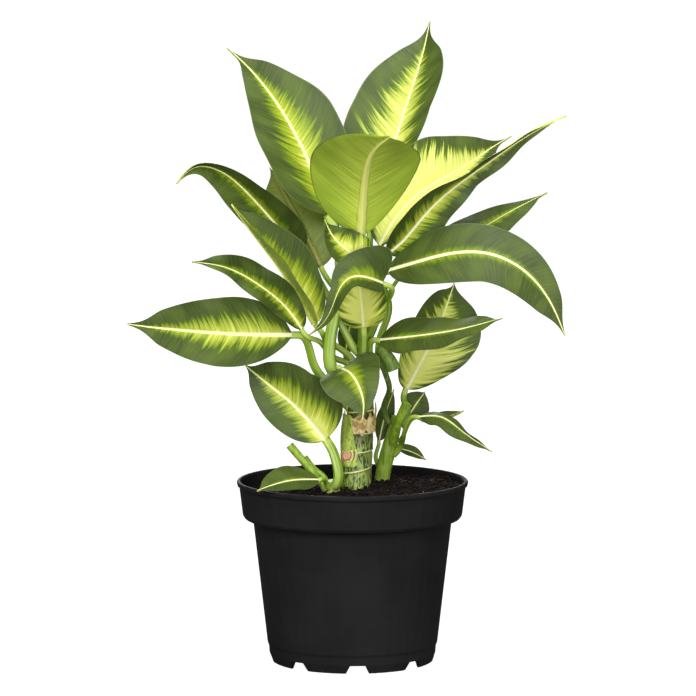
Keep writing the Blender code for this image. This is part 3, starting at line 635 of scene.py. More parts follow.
class Graph:
    """A material's nodes, built by short calls that each return an output socket."""

    def __init__(self, name):
        self.material = bpy.data.materials.new(name)
        self.material.use_nodes = True
        self.tree = self.material.node_tree
        self.shader = self.tree.nodes["Principled BSDF"]

    def node(self, kind, inputs=(), **settings):
        made = self.tree.nodes.new(kind)
        for key, value in settings.items():
            setattr(made, key, value)
        for index, value in enumerate(inputs):
            self.feed(made.inputs[index], value)
        return made

    def feed(self, socket, value):
        if value is None:
            return
        if isinstance(value, bpy.types.NodeSocket):
            self.tree.links.new(value, socket)
        else:
            socket.default_value = value

    def math(self, operation, *values, clamp=False):
        return self.node("ShaderNodeMath", values, operation=operation, use_clamp=clamp).outputs[0]

    def add(self, a, b):
        return self.math("ADD", a, b)

    def times(self, a, b):
        return self.math("MULTIPLY", a, b)

    def parts(self, attribute):
        read = self.node("ShaderNodeAttribute", attribute_name=attribute)
        return self.node("ShaderNodeSeparateXYZ", (read.outputs["Vector"],)).outputs

    def vector(self, x, y, z):
        return self.node("ShaderNodeCombineXYZ", (x, y, z)).outputs[0]

    def noise(self, vector, scale=1.0, detail=2.0, rough=0.55, distort=0.0):
        made = self.node("ShaderNodeTexNoise")
        self.feed(made.inputs["Vector"], vector)
        made.inputs["Scale"].default_value = scale
        made.inputs["Detail"].default_value = detail
        made.inputs["Roughness"].default_value = rough
        made.inputs["Distortion"].default_value = distort
        return made.outputs["Fac"]

    def step(self, low, high, value, start=0.0, end=1.0):
        """A smooth step of value from start at low to end at high."""
        made = self.node("ShaderNodeMapRange", interpolation_type="SMOOTHSTEP")
        for key, given in (
            ("Value", value), ("From Min", low), ("From Max", high), ("To Min", start), ("To Max", end)
        ):
            self.feed(made.inputs[key], given)
        return made.outputs[0]

    def mix(self, share, a, b, kind="MIX"):
        made = self.node("ShaderNodeMix", data_type="RGBA", blend_type=kind)
        self.feed(made.inputs["Factor"], share)
        self.feed(made.inputs[6], rgba(a))
        self.feed(made.inputs[7], rgba(b))
        return made.outputs[2]

    def ramp(self, value, stops):
        made = self.node("ShaderNodeValToRGB", (value,))
        band = made.color_ramp
        while len(band.elements) < len(stops):
            band.elements.new(0.5)
        for element, (place, colour) in zip(band.elements, stops):
            element.position = place
            element.color = rgba(colour)
        return made.outputs[0]

    def bump(self, height, strength=1.0, distance=MM):
        made = self.node("ShaderNodeBump")
        made.inputs["Strength"].default_value = strength
        made.inputs["Distance"].default_value = distance
        self.feed(made.inputs["Height"], height)
        return made.outputs[0]

    def finish(self, colour, roughness, normal=None, **plain):
        self.feed(self.shader.inputs["Base Color"], rgba(colour))
        self.feed(self.shader.inputs["Roughness"], roughness)
        if normal is not None:
            self.feed(self.shader.inputs["Normal"], normal)
        for key, value in plain.items():
            self.shader.inputs[key.replace("_", " ")].default_value = value
        return self.material


def rgba(colour):
    """A colour given as three sRGB numbers out of 255, in linear light with alpha; sockets pass."""
    if not isinstance(colour, tuple):
        return colour
    linear = []
    for value in colour:
        c = value / 255
        linear.append(c / 12.92 if c <= 0.04045 else ((c + 0.055) / 1.055) ** 2.4)
    return (*linear, 1.0)


# ---------------------------------------------------------------- leaf materials


def vein_fields(g):
    """What both sides of a blade share: vein positions, flames along the veins and fine streaks."""
    s, y, edge = g.parts("blade")
    seed, pale, amp = g.parts("habit")
    u, v, rib = g.parts("form")
    away = g.math("ABSOLUTE", y)
    own = g.add(seed, g.times(g.math("GREATER_THAN", y, 0.0), 17.3))
    bend = g.noise(g.vector(g.times(s, 0.07), g.times(away, 0.04), own), detail=1)
    jitter = g.noise(g.vector(g.times(s, 0.3), g.times(away, 0.02), g.add(own, 3.3)), detail=1)
    s = g.add(s, g.times(g.add(bend, -0.5), 5.0))
    flame = g.noise(g.vector(g.times(s, 0.36), g.times(away, 0.018), own), detail=4, rough=0.66)
    fine = g.noise(g.vector(g.times(s, 1.3), g.times(away, 0.07), g.add(own, 5.1)), detail=2)
    broad = g.noise(g.vector(g.times(s, 0.06), g.times(away, 0.03), g.add(own, 9.4)), detail=1)
    dash = g.noise(g.vector(g.times(s, 0.85), g.times(away, 0.13), g.add(own, 7.7)), detail=2)
    even = g.add(g.times(s, 0.27), g.times(g.add(jitter, -0.5), 1.1))
    vein = g.times(g.math("ABSOLUTE", g.add(g.math("FRACT", even), -0.5)), 2.0)
    return dict(
        s=s, away=away, edge=edge, pale=pale, amp=amp, u=u, v=v, rib=rib, own=own,
        flame=flame, fine=fine, broad=broad, dash=dash, vein=vein,
    )


def leaf_upper():
    g = Graph("leaf_upper")
    f = vein_fields(g)
    reach = g.times(g.times(g.add(f["flame"], -0.5), 2.7), f["amp"])
    level = g.add(g.add(f["edge"], reach), g.times(g.add(f["fine"], -0.5), 0.14))
    level = g.add(level, g.step(0.56, 0.70, f["dash"], 0.0, -0.14))
    level = g.add(g.times(level, 0.95), 0.5)
    flames = g.ramp(level, (
        (0.34, (60, 76, 24)), (0.46, (80, 100, 22)), (0.55, (106, 128, 24)), (0.66, (132, 148, 30)),
        (0.82, (162, 174, 46)), (1.0, (206, 212, 104)),
    ))
    inside = g.step(0.5, 0.72, level)
    pale = g.mix(g.times(inside, g.step(0.1, 0.6, f["pale"], 0.0, 0.6)), flames, (212, 216, 124))
    dark = g.mix(g.step(0.35, 0.65, f["broad"]), (50, 64, 22), (70, 86, 30))
    dark = g.mix(g.step(0.3, 0.7, f["fine"], 0.0, 0.3), dark, (90, 106, 38))
    dark = g.mix(g.step(0.7, 1.0, f["v"], 0.0, 0.35), dark, (48, 62, 26))
    lines = g.step(0.2, 0.0, f["vein"])
    dark = g.mix(g.times(lines, 0.16), dark, (104, 124, 56))
    body = g.mix(g.step(0.5, 0.32, level), pale, dark)
    rib_level = g.add(f["rib"], g.times(g.add(f["fine"], -0.5), 0.5))
    rib_colour = g.mix(f["u"], (232, 230, 188), (216, 218, 140))
    colour = g.mix(g.step(1.35, 0.8, rib_level), body, rib_colour)
    margin = g.step(0.972, 0.992, f["v"])
    colour = g.mix(g.times(margin, 0.35), colour, (128, 146, 72))
    grain = g.noise(g.vector(g.times(f["s"], 2.6), g.times(f["away"], 2.6), f["own"]), detail=2)
    height = g.add(g.times(lines, -0.04), g.times(f["fine"], 0.07))
    height = g.add(height, g.times(f["flame"], 0.25))
    height = g.add(height, g.times(grain, 0.02))
    rough = g.add(0.4, g.times(f["broad"], 0.2))
    return g.finish(colour, rough, g.bump(height, 0.8), Specular_IOR_Level=0.22)


def leaf_under():
    g = Graph("leaf_under")
    f = vein_fields(g)
    fade = g.step(0.95, 0.1, f["v"])
    width = g.add(0.02, g.times(g.step(0.3, 0.7, f["flame"]), 0.36))
    lines = g.step(width, 0.0, f["vein"])
    ground = g.mix(g.step(0.3, 0.7, f["broad"]), (146, 170, 50), (172, 196, 62))
    warm = g.times(g.step(0.75, 0.05, f["v"]), g.step(0.3, 0.65, f["flame"]))
    ground = g.mix(warm, ground, (196, 214, 74))
    ground = g.mix(g.step(0.0, 0.35, g.add(f["edge"], -0.2), 0.0, 0.7), ground, (198, 212, 78))
    ground = g.mix(g.step(0.35, 0.65, f["fine"], 0.0, 0.3), ground, (104, 126, 34))
    colour = g.mix(g.times(lines, g.times(fade, 0.85)), ground, (212, 220, 104))
    colour = g.mix(g.step(1.15, 0.9, f["rib"]), colour, (228, 230, 128))
    margin = g.step(0.965, 0.99, f["v"])
    colour = g.mix(g.times(margin, 0.6), colour, (58, 74, 26))
    # painted shade: a leaf whose pale is below -0.2 gets its underside darkened, as if shaded by the leaves
    # in front
    colour = g.mix(g.step(-0.2, -0.5, f["pale"], 0.0, 0.75), colour, (48, 60, 22))
    height = g.add(g.times(lines, g.times(fade, 0.2)), g.times(f["fine"], 0.08))
    rough = g.add(0.45, g.times(f["broad"], 0.15))
    return g.finish(colour, rough, g.bump(height, 0.9), Specular_IOR_Level=0.3)


def leaf_stalk():
    g = Graph("leaf_stalk")
    length, c, s = g.parts("stalk")
    share = g.parts("share")[0]
    seed = g.parts("habit")[0]
    streak = g.noise(g.vector(g.times(c, 2.6), g.times(s, 2.6), g.add(g.times(length, 0.03), seed)), detail=3)
    speck = g.noise(g.vector(g.times(c, 3.2), g.times(s, 3.2), g.add(g.times(length, 0.9), seed)), detail=2)
    ground = g.mix(g.step(0.3, 0.7, streak), (92, 124, 24), (136, 164, 44))
    ground = g.mix(g.step(0.0, 0.35, share, 0.6, 0.0), ground, (146, 166, 62))
    ground = g.mix(g.step(0.62, 0.78, speck, 0.0, 0.35), ground, (84, 116, 30))
    colour = g.mix(g.step(0.75, 1.0, share, 0.0, 0.65), ground, (174, 194, 84))
    # painted highlight: the stalk's upper, grooved side is paled along its length
    colour = g.mix(g.step(0.75, 1.0, s, 0.0, 0.3), colour, (206, 222, 130))
    height = g.add(g.times(streak, 0.25), g.times(speck, 0.05))
    return g.finish(colour, 0.42, g.bump(height, 0.7), Specular_IOR_Level=0.4)


# ---------------------------------------------------------------- stems, soil and pot


CANE_NODES = ((143.6, 0.2, 0.1), (157.6, 0.05, 0.12), (171.5, -0.06, 0.1), (186, 0.1, 0.0), (197, 0, 0.1))


def cane_material():
    g = Graph("cane_skin")
    place = g.node("ShaderNodeTexCoord").outputs["Object"]
    x, y, z = g.node("ShaderNodeSeparateXYZ", (place,)).outputs
    ring = g.parts("ring")[0]
    low = g.vector(x, y, g.times(z, 0.32))
    dash = g.noise(low, scale=620, detail=2, rough=0.6)
    blotch = g.noise(g.vector(x, y, g.times(z, 0.6)), scale=150, detail=2)
    fine = g.noise(place, scale=1400, detail=2)
    ground = g.mix(g.step(0.35, 0.65, blotch), (98, 122, 46), (146, 162, 78))
    colour = g.mix(g.step(0.49, 0.57, dash, 0.0, 0.95), ground, (34, 54, 22))
    brown = g.times(g.step(0.158, 0.172, z), g.step(0.4, 0.6, blotch, 0.3, 0.9))
    colour = g.mix(brown, colour, (56, 50, 24))
    green = g.step(0.184, 0.198, z)
    colour = g.mix(green, colour, (108, 136, 38))
    colour = g.mix(g.times(g.step(0.3, 0.8, ring), g.step(0.204, 0.19, z)), colour, (214, 208, 142))
    colour = g.mix(g.step(0.6, 0.75, fine, 0.0, 0.2), colour, (60, 66, 34))
    height = g.add(g.times(dash, -0.35), g.times(fine, 0.12))
    return g.finish(colour, 0.5, g.bump(height, 0.8), Specular_IOR_Level=0.4)


def shoot_material():
    g = Graph("shoot_skin")
    place = g.node("ShaderNodeTexCoord").outputs["Object"]
    x, y, z = g.node("ShaderNodeSeparateXYZ", (place,)).outputs
    streak = g.noise(g.vector(x, y, g.times(z, 0.06)), scale=620, detail=3)
    blotch = g.noise(place, scale=130, detail=2)
    colour = g.mix(g.step(0.3, 0.7, streak), (92, 124, 22), (138, 168, 46))
    colour = g.mix(g.step(0.45, 0.7, blotch, 0.0, 0.35), colour, (160, 180, 72))
    colour = g.mix(g.step(0.136, 0.128, z, 0.0, 0.6), colour, (186, 184, 116))
    height = g.times(streak, 0.3)
    return g.finish(colour, 0.42, g.bump(height, 0.8), Specular_IOR_Level=0.4)


def rolled_material(dark, light_green):
    """A rolled leaf's skin, streaked along its length; given near-black colours it is painted shade for the
    inside of the roll's open end.
    """
    g = Graph("rolled_skin")
    place = g.node("ShaderNodeTexCoord").outputs["Object"]
    x, y, z = g.node("ShaderNodeSeparateXYZ", (place,)).outputs
    streak = g.noise(g.vector(x, y, g.times(z, 0.1)), scale=560, detail=3)
    blotch = g.noise(place, scale=120, detail=2)
    colour = g.mix(g.step(0.3, 0.7, streak), dark, light_green)
    colour = g.mix(g.step(0.5, 0.75, blotch, 0.0, 0.4), colour, dark)
    return g.finish(colour, 0.5, g.bump(g.times(streak, 0.25), 0.7), Specular_IOR_Level=0.25)


def soil_material():
    g = Graph("soil_crumb")
    place = g.node("ShaderNodeTexCoord").outputs["Object"]
    clump = g.noise(place, scale=260, detail=4, rough=0.7)
    fine = g.noise(place, scale=1500, detail=3, rough=0.7)
    colour = g.ramp(clump, ((0.3, (9, 6, 5)), (0.5, (19, 12, 9)), (0.62, (38, 25, 18)), (0.78, (98, 70, 50))))
    colour = g.mix(g.step(0.66, 0.76, fine, 0.0, 0.45), colour, (116, 88, 66))
    height = g.add(g.times(clump, 1.6), g.times(fine, 0.6))
    return g.finish(colour, 0.92, g.bump(height, 1.0), Specular_IOR_Level=0.2)


def perlite_material():
    g = Graph("perlite")
    place = g.node("ShaderNodeTexCoord").outputs["Object"]
    fine = g.noise(place, scale=1700, detail=3)
    colour = g.mix(g.step(0.35, 0.7, fine), (236, 232, 222), (176, 166, 150))
    return g.finish(colour, 0.85, g.bump(g.times(fine, 0.6), 1.0))


def pot_material():
    g = Graph("pot_plastic")
    place = g.node("ShaderNodeTexCoord").outputs["Object"]
    x, y, z = g.node("ShaderNodeSeparateXYZ", (place,)).outputs
    grain = g.noise(place, scale=2600, detail=2)
    cloud = g.noise(place, scale=24, detail=3)
    scuff = g.noise(
        g.vector(g.times(x, 3.0), g.times(y, 3.0), g.times(z, 0.5)), scale=160, detail=3, distort=0.6
    )
    colour = g.mix(g.step(0.3, 0.7, cloud), (27, 27, 27), (32, 32, 32))
    colour = g.mix(g.step(0.66, 0.8, scuff, 0.0, 0.1), colour, (58, 58, 56))
    height = g.add(g.times(grain, 0.03), g.times(cloud, 0.10))
    rough = g.add(0.5, g.times(scuff, 0.12))
    return g.finish(colour, rough, g.bump(height, 0.6), Specular_IOR_Level=0.02)


def build_cane():
    """The main cane, with a raised ring at each old leaf's place and a shallow groove just below it."""
    line = spline(STEMS["main_cane"], 240) * MM
    rings = tube_rings(line, 56)
    ring_read = np.zeros(rings.shape)
    for i, point in enumerate(line):
        offset = rings[i] - point[:3]
        out = unit(offset)
        push = np.zeros(len(offset))
        mark = np.zeros(len(offset))
        for height, tilt_x, tilt_y in CANE_NODES:
            d = (rings[i][:, 2] - height * MM - tilt_x * offset[:, 0] - tilt_y * offset[:, 1]) / MM
            push += 0.42 * np.exp(-((d / 0.7) ** 2)) - 0.35 * np.exp(-(((d + 1.5) / 1.1) ** 2))
            mark = np.maximum(mark, np.exp(-((d / 0.62) ** 2)))
        wobble = [noise.noise(Vector(p) * 180) * 0.35 for p in rings[i]]
        rings[i] = rings[i] + out * ((push + wobble) * MM)[:, None]
        ring_read[i, :, 0] = mark
        ring_read[i, :, 1] = i / len(line)
    points, faces = loft(rings)
    made = add_mesh("main_cane_look", points, faces, [cane_material()])
    put(made.data, "ring", ring_read)
    place(made, "cane", "main_cane")


def place(made, slot, *nodes):
    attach(made, "root")
    if nodes:
        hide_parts(*nodes)
    return made


def build_shoot(name, skin):
    line = spline(STEMS[name], 90) * MM
    rings = tube_rings(line, 40)
    for i, point in enumerate(line):
        out = unit(rings[i] - point[:3])
        ridge = [0.35 * noise.noise(Vector((p[0] * 420, p[1] * 420, p[2] * 40))) for p in rings[i]]
        rings[i] = rings[i] + out * (np.array(ridge) * MM)[:, None]
    place(add_mesh(name + "_look", *loft(rings), [skin]), "shoot", name)


def seated_line(stem, height, bearing, points, radius):
    """A line from a seat on a stem through the points, and the way it leaves the stem."""
    seat, out = stem_seat(stem, height, math.radians(bearing), radius)
    return spline(
        [seat, seat + (out * 0.5 + np.array([0, 0, 0.86])) * 6 * MM, *(np.array(points) * MM)], 80
    ), out


def build_cut_stalk(name, skin):
    """A stalk cut across and hollowed at its cut."""
    stem, height, bearing, points, radii = CUT_STALKS[name]
    line, _ = seated_line(stem, height, bearing, points, radii[0])
    line = resample(line, np.linspace(0, 1, 40))
    radius = np.linspace(*radii, 40)[:, None] * MM
    rings = list(tube_rings(np.hstack([line, radius]), 32))
    last, middle = rings[-1], line[-1]
    way = tangents(line)[-1]
    for share, depth in ((0.86, 0.2), (0.7, 0.9), (0.3, 1.4), (0.05, 1.5)):
        rings.append(middle + (last - middle) * share - way * depth * MM)
    place(add_mesh(name + "_look", *loft(np.array(rings)), [skin]), "shoot", name)


def build_rolled_leaf(materials):
    """A leaf still rolled into a horn, open at its end."""
    line, _ = seated_line(*ROLLED_SEAT, ROLLED_WAY, ROLLED_RADII[0])
    shares = np.linspace(0, 1, 70)
    line = resample(line, shares)
    radius = spread_over(ROLLED_RADII, shares)[:, None] * MM
    outside = tube_rings(np.hstack([line, radius]), 40)
    inner = np.linspace(1, 1 - ROLL_DEPTH * MM / length_of(line), 12)
    back = resample(np.hstack([line, radius - 0.8 * MM]), inner)
    forward = tube_rings(back[::-1], 40)[::-1]
    start = np.argmin(np.linalg.norm(forward[0] - outside[-1][0], axis=1))
    forward = np.roll(forward, -start, axis=1)
    rings = np.concatenate([outside, forward])
    points_all, faces = loft(rings)
    # faces inside the open end take the second skin, painted shade
    slots = [0 if i // 40 < 69 else 1 for i in range(len(faces))]
    made = add_mesh("leaf_right_rolled_look", points_all, faces, materials, slots)
    place(made, "leaf", "leaf_right_rolled")


def build_scar(skin):
    """A round leaf scar on the cane's left side: a low dome in a few raised rings."""
    out = unit(np.array([-0.66, -0.75, 0.05]))
    side = unit(np.cross([0, 0, 1], out))
    up = np.cross(out, side)
    x, y, _, radius = stem_at("main_cane", 153.5)
    middle = np.array([x, y, 153.5 * MM]) + out * (radius - 0.6 * MM)
    around = np.linspace(0, 2 * math.pi, 48, endpoint=False)
    rings = []
    for radius in np.linspace(7.6, 0.3, 40):
        dome = 3.4 * math.cos(radius / 7.6 * math.pi / 2) ** 0.7
        ridge = 0.35 * math.cos(radius * 2.6)
        ring = []
        for a in around:
            uneven = 1 + 0.09 * math.sin(2 * a + 0.6) + 0.05 * math.sin(5 * a)
            flat = (math.cos(a) * side + 1.15 * math.sin(a) * up) * radius * uneven * MM
            ring.append(middle + flat + out * (dome + ridge - 0.6) * MM)
        rings.append(ring)
    back = [middle + (np.array(p) - middle) * 0.7 - out * 3 * MM for p in rings[0]]
    made = add_mesh("cane_scar", *loft(np.array([back, *rings])), [skin])
    shape = np.zeros((41, 48, 3))
    shape[:, :, 0] = np.concatenate([[7.6], np.linspace(7.6, 0.3, 40)])[:, None]
    put(made.data, "scar", shape)
    place(made, "cane")


def scar_material():
    g = Graph("scar_skin")
    place_in = g.node("ShaderNodeTexCoord").outputs["Object"]
    radius = g.parts("scar")[0]
    fine = g.noise(place_in, scale=800, detail=3)
    wander = g.add(radius, g.times(g.add(g.noise(place_in, scale=240, detail=2), -0.5), 2.2))
    colour = g.mix(g.step(2.6, 3.8, wander), (206, 158, 128), (150, 120, 74))
    colour = g.mix(g.step(4.2, 4.9, wander), colour, (212, 198, 138))
    colour = g.mix(g.step(5.4, 5.9, wander), colour, (98, 104, 48))
    colour = g.mix(g.step(6.3, 6.8, wander), colour, (196, 196, 118))
    colour = g.mix(g.step(0.55, 0.7, fine, 0.0, 0.4), colour, (120, 84, 58))
    return g.finish(colour, 0.65, g.bump(g.times(fine, 0.4), 0.8), Specular_IOR_Level=0.25)


def build_clasp(skin):
    """The foot of an old leaf, clasping the cane's left side and narrowing as it runs up."""
    rows, columns = 40, 26
    outer, inner = [], []
    for r in range(rows):
        share = r / (rows - 1)
        z = (146 + 38 * share) * MM
        x, y, _, radius = stem_at("main_cane", z / MM)
        reach = math.radians(74 - 48 * share**1.4)
        for c in range(columns):
            across = 2 * c / (columns - 1) - 1
            t = math.radians(196 + 10 * share) + reach * across
            lift = 0.5 + 1.6 * math.sin(math.pi * min(share * 1.1, 1)) + 2.6 * share**2 - 0.4 * across**2
            way = np.array([math.cos(t), math.sin(t), 0.0])
            outer.append(np.array([x, y, z]) + way * (radius + lift * MM))
            inner.append(np.array([x, y, z]) + way * (radius + (lift - 0.45) * MM))
    place(add_mesh("cane_clasp", *shell(inner, outer, rows, columns), [skin]), "shoot")


def shell(inner, outer, rows, columns):
    """Vertices and faces of a thin sheet with two sides and its edges closed."""
    count = rows * columns
    faces = []
    for r in range(rows - 1):
        for c in range(columns - 1):
            a, b = r * columns + c, (r + 1) * columns + c
            faces.append((a, a + 1, b + 1, b))
            faces.append((a + count, b + count, b + 1 + count, a + 1 + count))
    for r in range(rows - 1):
        for c in (0, columns - 1):
            a, b = r * columns + c, (r + 1) * columns + c
            faces.append((a, b, b + count, a + count) if c == 0 else (b, a, a + count, b + count))
    for c in range(columns - 1):
        for r in (0, rows - 1):
            a = r * columns + c
            faces.append(
                (a + 1, a, a + count, a + 1 + count) if r == 0 else (a, a + 1, a + 1 + count, a + count)
            )
    return np.array(list(inner) + list(outer)), faces


def clasp_material():
    g = Graph("clasp_skin")
    place_in = g.node("ShaderNodeTexCoord").outputs["Object"]
    x, y, z = g.node("ShaderNodeSeparateXYZ", (place_in,)).outputs
    speck = g.noise(g.vector(x, y, g.times(z, 0.6)), scale=760, detail=2)
    streak = g.noise(g.vector(x, y, g.times(z, 0.1)), scale=420, detail=2)
    colour = g.mix(g.step(0.3, 0.7, streak), (138, 160, 56), (180, 194, 92))
    colour = g.mix(g.step(0.56, 0.64, speck, 0.0, 0.8), colour, (62, 88, 30))
    return g.finish(colour, 0.5, g.bump(g.times(streak, 0.3), 0.8), Specular_IOR_Level=0.35)


def build_sheath(skin):
    """The dried sheath: a thin curled band, torn to points above and ragged below."""
    start, end = np.radians(SHEATH_ARC)
    columns, rows = 110, 16
    rng = random.Random(5)
    tops = [rng.uniform(-3.0, 0.5) + (2.0 if k % 3 == 0 else -2.0) for k in range(19)]
    feet = [rng.uniform(-1.5, 1.5) + (1.5 if k % 2 else -1.5) for k in range(19)]
    outer, inner = [], []
    for r in range(rows):
        share = r / (rows - 1)
        for c in range(columns):
            along = c / (columns - 1)
            t = start + (end - start) * along
            way = np.array([math.cos(t), math.sin(t), 0.0])
            top = SHEATH_TOP + (
                np.interp(along * 18, range(19), tops) + 7 * smooth(0.62, 0.95, along) - 1
            ) * MM
            foot = SHEATH_FOOT + (np.interp(along * 18, range(19), feet) + 1.5) * MM
            z = foot + (top - foot) * share
            x, y, _, radius = stem_at("main_cane", z / MM)
            curl = 1.5 * share**1.5 + 0.9 * (1 - share) ** 3
            lift = SEAT_GAP + (curl + 0.5 * noise.noise(Vector((t * 4, share * 3, 2)))) * MM
            base = np.array([x, y, z])
            inner.append(base + way * (radius + lift))
            outer.append(base + way * (radius + lift + 0.5 * MM))
    points, faces = shell(inner, outer, rows, columns)
    place(add_mesh("dried_sheath_look", points, faces, [skin]), "dried", "dried_sheath")


def dried_material():
    g = Graph("dried_skin")
    place_in = g.node("ShaderNodeTexCoord").outputs["Object"]
    x, y, z = g.node("ShaderNodeSeparateXYZ", (place_in,)).outputs
    streak = g.noise(g.vector(x, y, g.times(z, 0.15)), scale=700, detail=3)
    blotch = g.noise(place_in, scale=220, detail=2)
    colour = g.mix(g.step(0.3, 0.7, streak), (186, 162, 92), (230, 216, 158))
    colour = g.mix(g.step(0.48, 0.62, blotch, 0.0, 0.7), colour, (146, 108, 58))
    colour = g.mix(g.step(0.60, 0.68, g.noise(place_in, scale=520, detail=2), 0.0, 0.6), colour, (92, 66, 36))
    return g.finish(colour, 0.7, g.bump(g.times(streak, 0.5), 0.9), Specular_IOR_Level=0.25)


def build_soil(skin, pale):
    """Crumbly soil: a fine rough surface, loose crumbs, fibres and a few pale specks."""
    rings, segments = 90, 260
    points = []
    for i in range(rings):
        share = (i + 1) / rings
        for j in range(segments):
            t = 2 * math.pi * j / segments
            x, y = share * SOIL_EDGE * math.cos(t), share * SOIL_EDGE * math.sin(t)
            spot = Vector((x, y, 0))
            rough = noise.fractal(spot * 180, 0.8, 2.1, 3) * 1.1 + abs(noise.noise(spot * 520)) * 1.1
            edge = 1.5 * smooth(0.93, 1.0, share)
            points.append((x, y, soil_height(x, y) + (rough - edge) * MM))
    faces = []
    for i in range(rings - 1):
        for j in range(segments):
            k = (j + 1) % segments
            faces.append((i * segments + j, i * segments + k, (i + 1) * segments + k, (i + 1) * segments + j))
    faces.append(tuple(range(segments))[::-1])
    floor = len(points)
    for radius, z in ((80.5, 118.0), (77.0, 108.0)):
        for j in range(segments):
            t = 2 * math.pi * j / segments
            points.append((radius * MM * math.cos(t), radius * MM * math.sin(t), z * MM))
    for a, b in (((rings - 1) * segments, floor), (floor, floor + segments)):
        for j in range(segments):
            k = (j + 1) % segments
            faces.append((a + j, a + k, b + k, b + j))
    faces.append(tuple(range(floor + segments, floor + 2 * segments)))
    place(add_mesh("soil_look", np.array(points), faces, [skin], sharp=180), "soil", "soil")
    rng = random.Random(11)
    crumbs(rng, "soil_crumbs", 1500, (0.45, 1.9), skin)
    fibres(rng, "soil_fibres", 420, skin)
    crumbs(rng, "soil_perlite", 16, (0.5, 1.1), pale)


def spot_on_soil(rng):
    radius = SOIL_EDGE * math.sqrt(rng.random()) * 0.985
    t = rng.uniform(0, 2 * math.pi)
    x, y = radius * math.cos(t), radius * math.sin(t)
    return np.array([x, y, soil_height(x, y)])


def crumbs(rng, name, count, sizes, skin):
    """Many small uneven lumps lying on the soil, as one mesh."""
    golden = (1 + math.sqrt(5)) / 2
    corners = []
    for a in (-1, 1):
        for b in (-golden, golden):
            corners += [(a, b, 0), (0, a, b), (b, 0, a)]
    corners = unit(np.array(corners))
    near = 1.1
    triples = []
    for i in range(12):
        for j in range(i + 1, 12):
            for k in range(j + 1, 12):
                p, q, r = corners[i], corners[j], corners[k]
                if max(np.linalg.norm(p - q), np.linalg.norm(q - r), np.linalg.norm(p - r)) < near:
                    triples.append((i, j, k) if np.dot(np.cross(q - p, r - p), p) > 0 else (i, k, j))
    points, faces = [], []
    for _ in range(count):
        at = spot_on_soil(rng)
        size = rng.uniform(sizes[0], sizes[1]) ** 1.3 * MM * 0.7
        stretch = np.array([rng.uniform(0.7, 1.6), rng.uniform(0.7, 1.3), rng.uniform(0.5, 0.9)])
        turn = rng.uniform(0, 2 * math.pi)
        spin = np.array([
            [math.cos(turn), -math.sin(turn), 0], [math.sin(turn), math.cos(turn), 0], [0, 0, 1]
        ])
        start = len(points)
        for corner in corners:
            local = corner * stretch * size * rng.uniform(0.7, 1.25)
            points.append(at + spin @ local + np.array([0, 0, 1.0 * MM + 0.3 * size]))
        faces += [(a + start, b + start, c + start) for a, b, c in triples]
    place(add_mesh(name, np.array(points), faces, [skin], sharp=60), "soil")


def fibres(rng, name, count, skin):
    """Short thin fibres lying over the soil, as one mesh."""
    points, faces = [], []
    for _ in range(count):
        at = spot_on_soil(rng)
        way = rng.uniform(0, 2 * math.pi)
        reach = rng.uniform(3, 9) * MM
        bend = rng.uniform(-0.9, 0.9)
        line = []
        for k in range(6):
            share = k / 5 - 0.5
            t = way + bend * share
            x = at[0] + reach * share * math.cos(t)
            y = at[1] + reach * share * math.sin(t)
            if math.hypot(x, y) > SOIL_EDGE:
                x, y = at[0], at[1] + share * 0.1 * MM
            z = soil_height(x, y) + (1.2 + 1.4 * math.cos(share * 3) * rng.uniform(0.4, 1)) * MM
            line.append((x, y, z, rng.uniform(0.1, 0.22) * MM))
        start = len(points)
        tube, around = loft(tube_rings(np.array(line), 4))
        points += list(tube)
        faces += [tuple(i + start for i in f) for f in around]
    place(add_mesh(name, np.array(points), faces, [skin], sharp=60), "soil")


# ---------------------------------------------------------------- build


def build():
    upper, under, stalk = leaf_upper(), leaf_under(), leaf_stalk()
    for name, spec in LEAVES.items():
        build_leaf(name, spec, [upper, under, stalk])
    build_cane()
    shoot = shoot_material()
    build_shoot("right_shoot", shoot)
    build_shoot("left_shoot", shoot)
    for name in CUT_STALKS:
        build_cut_stalk(name, shoot)
    build_rolled_leaf([
        # the second skin, near-black, is painted shade inside the rolled leaf's open end
        rolled_material((66, 86, 34), (98, 120, 46)), rolled_material((8, 10, 6), (22, 28, 12))
    ])
    build_sheath(dried_material())
    build_scar(scar_material())
    build_clasp(clasp_material())
    build_soil(soil_material(), perlite_material())
    pot = frame["nodes"]["pot"]
    pot.material_slots[0].material = pot_material()


def light(name, place_at, toward, size, power, colour=(1, 1, 1)):
    lamp = bpy.data.lights.new(name, "AREA")
    lamp.shape = "RECTANGLE"
    lamp.size, lamp.size_y = size
    lamp.energy = power
    lamp.color = colour
    made = bpy.data.objects.new(name, lamp)
    made.location = place_at
    made.rotation_euler = (Vector(toward) - Vector(place_at)).to_track_quat("-Z", "Y").to_euler()
    bpy.context.scene.collection.objects.link(made)


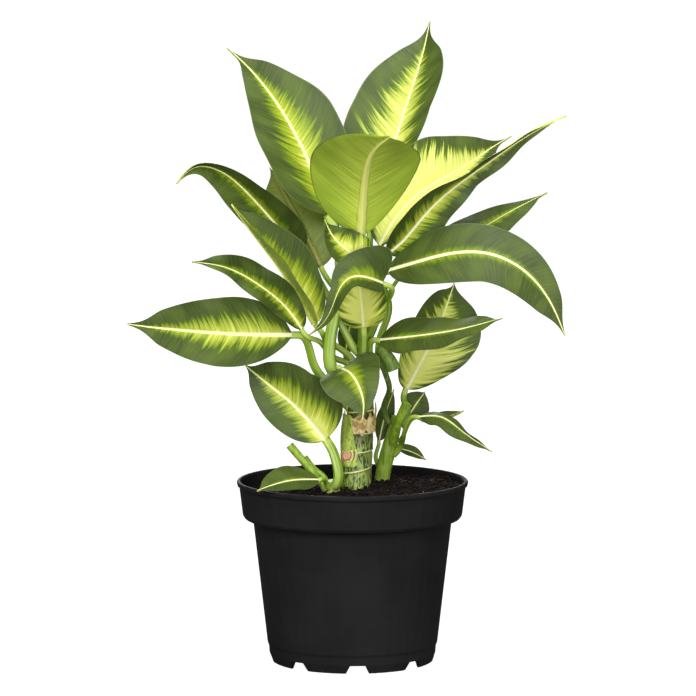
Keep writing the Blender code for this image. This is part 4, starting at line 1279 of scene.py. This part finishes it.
def build_stage():
    """A pale floor, a white surround, soft lights and the camera."""
    size = 30
    mesh = bpy.data.meshes.new("floor")
    mesh.from_pydata(
        [(-size, -size, 0), (size, -size, 0), (size, size, 0), (-size, size, 0)], [], [(0, 1, 2, 3)]
    )
    floor = bpy.data.objects.new("floor", mesh)
    floor.location.z = -0.0002
    bpy.context.scene.collection.objects.link(floor)
    g = Graph("pale_floor")
    seen_directly = g.node("ShaderNodeLightPath").outputs["Is Camera Ray"]
    g.shader.inputs["Emission Color"].default_value = (1, 1, 1, 1)
    g.feed(g.shader.inputs["Emission Strength"], g.add(0.05, g.times(seen_directly, 0.95)))
    mesh.materials.append(g.finish((110, 110, 110), 0.9, Specular_IOR_Level=0.0))
    world = bpy.data.worlds.new("surround")
    world.use_nodes = True
    nodes = world.node_tree.nodes
    path = nodes.new("ShaderNodeLightPath")
    strength = nodes.new("ShaderNodeMapRange")
    strength.inputs["To Min"].default_value = 0.16
    strength.inputs["To Max"].default_value = 1.0
    world.node_tree.links.new(path.outputs["Is Camera Ray"], strength.inputs["Value"])
    world.node_tree.links.new(strength.outputs[0], nodes["Background"].inputs["Strength"])
    nodes["Background"].inputs["Color"].default_value = (1, 1, 1, 1)
    bpy.context.scene.world = world
    light("key", (-0.6, -2.0, 1.7), (0, 0, 0.25), (1.2, 1.2), 58)
    light("fill", (0.3, -2.8, 0.35), (0, 0, 0.28), (1.4, 0.7), 46)
    light("back", (-0.4, 2.4, 0.8), (0, 0, 0.25), (1.2, 1.0), 26)
    light("top", (0.1, -0.3, 1.9), (0, 0, 0.25), (1.2, 1.0), 26)
    light("side", (1.8, -0.9, 1.0), (0, 0, 0.3), (0.8, 1.0), 8)
    camera = bpy.data.cameras.new("camera")
    camera.lens = 284.5
    camera.sensor_width = 36
    camera.clip_end = 100
    seen = bpy.data.objects.new("camera", camera)
    seen.location = (-0.0033, -4.0, 0.72)
    aim = Vector((-0.0033, 0.0, 0.2317))
    seen.rotation_euler = (aim - seen.location).to_track_quat("-Z", "Y").to_euler()
    bpy.context.scene.collection.objects.link(seen)
    bpy.context.scene.camera = seen
    bpy.context.scene.view_settings.view_transform = "Standard"


build()
build_stage()
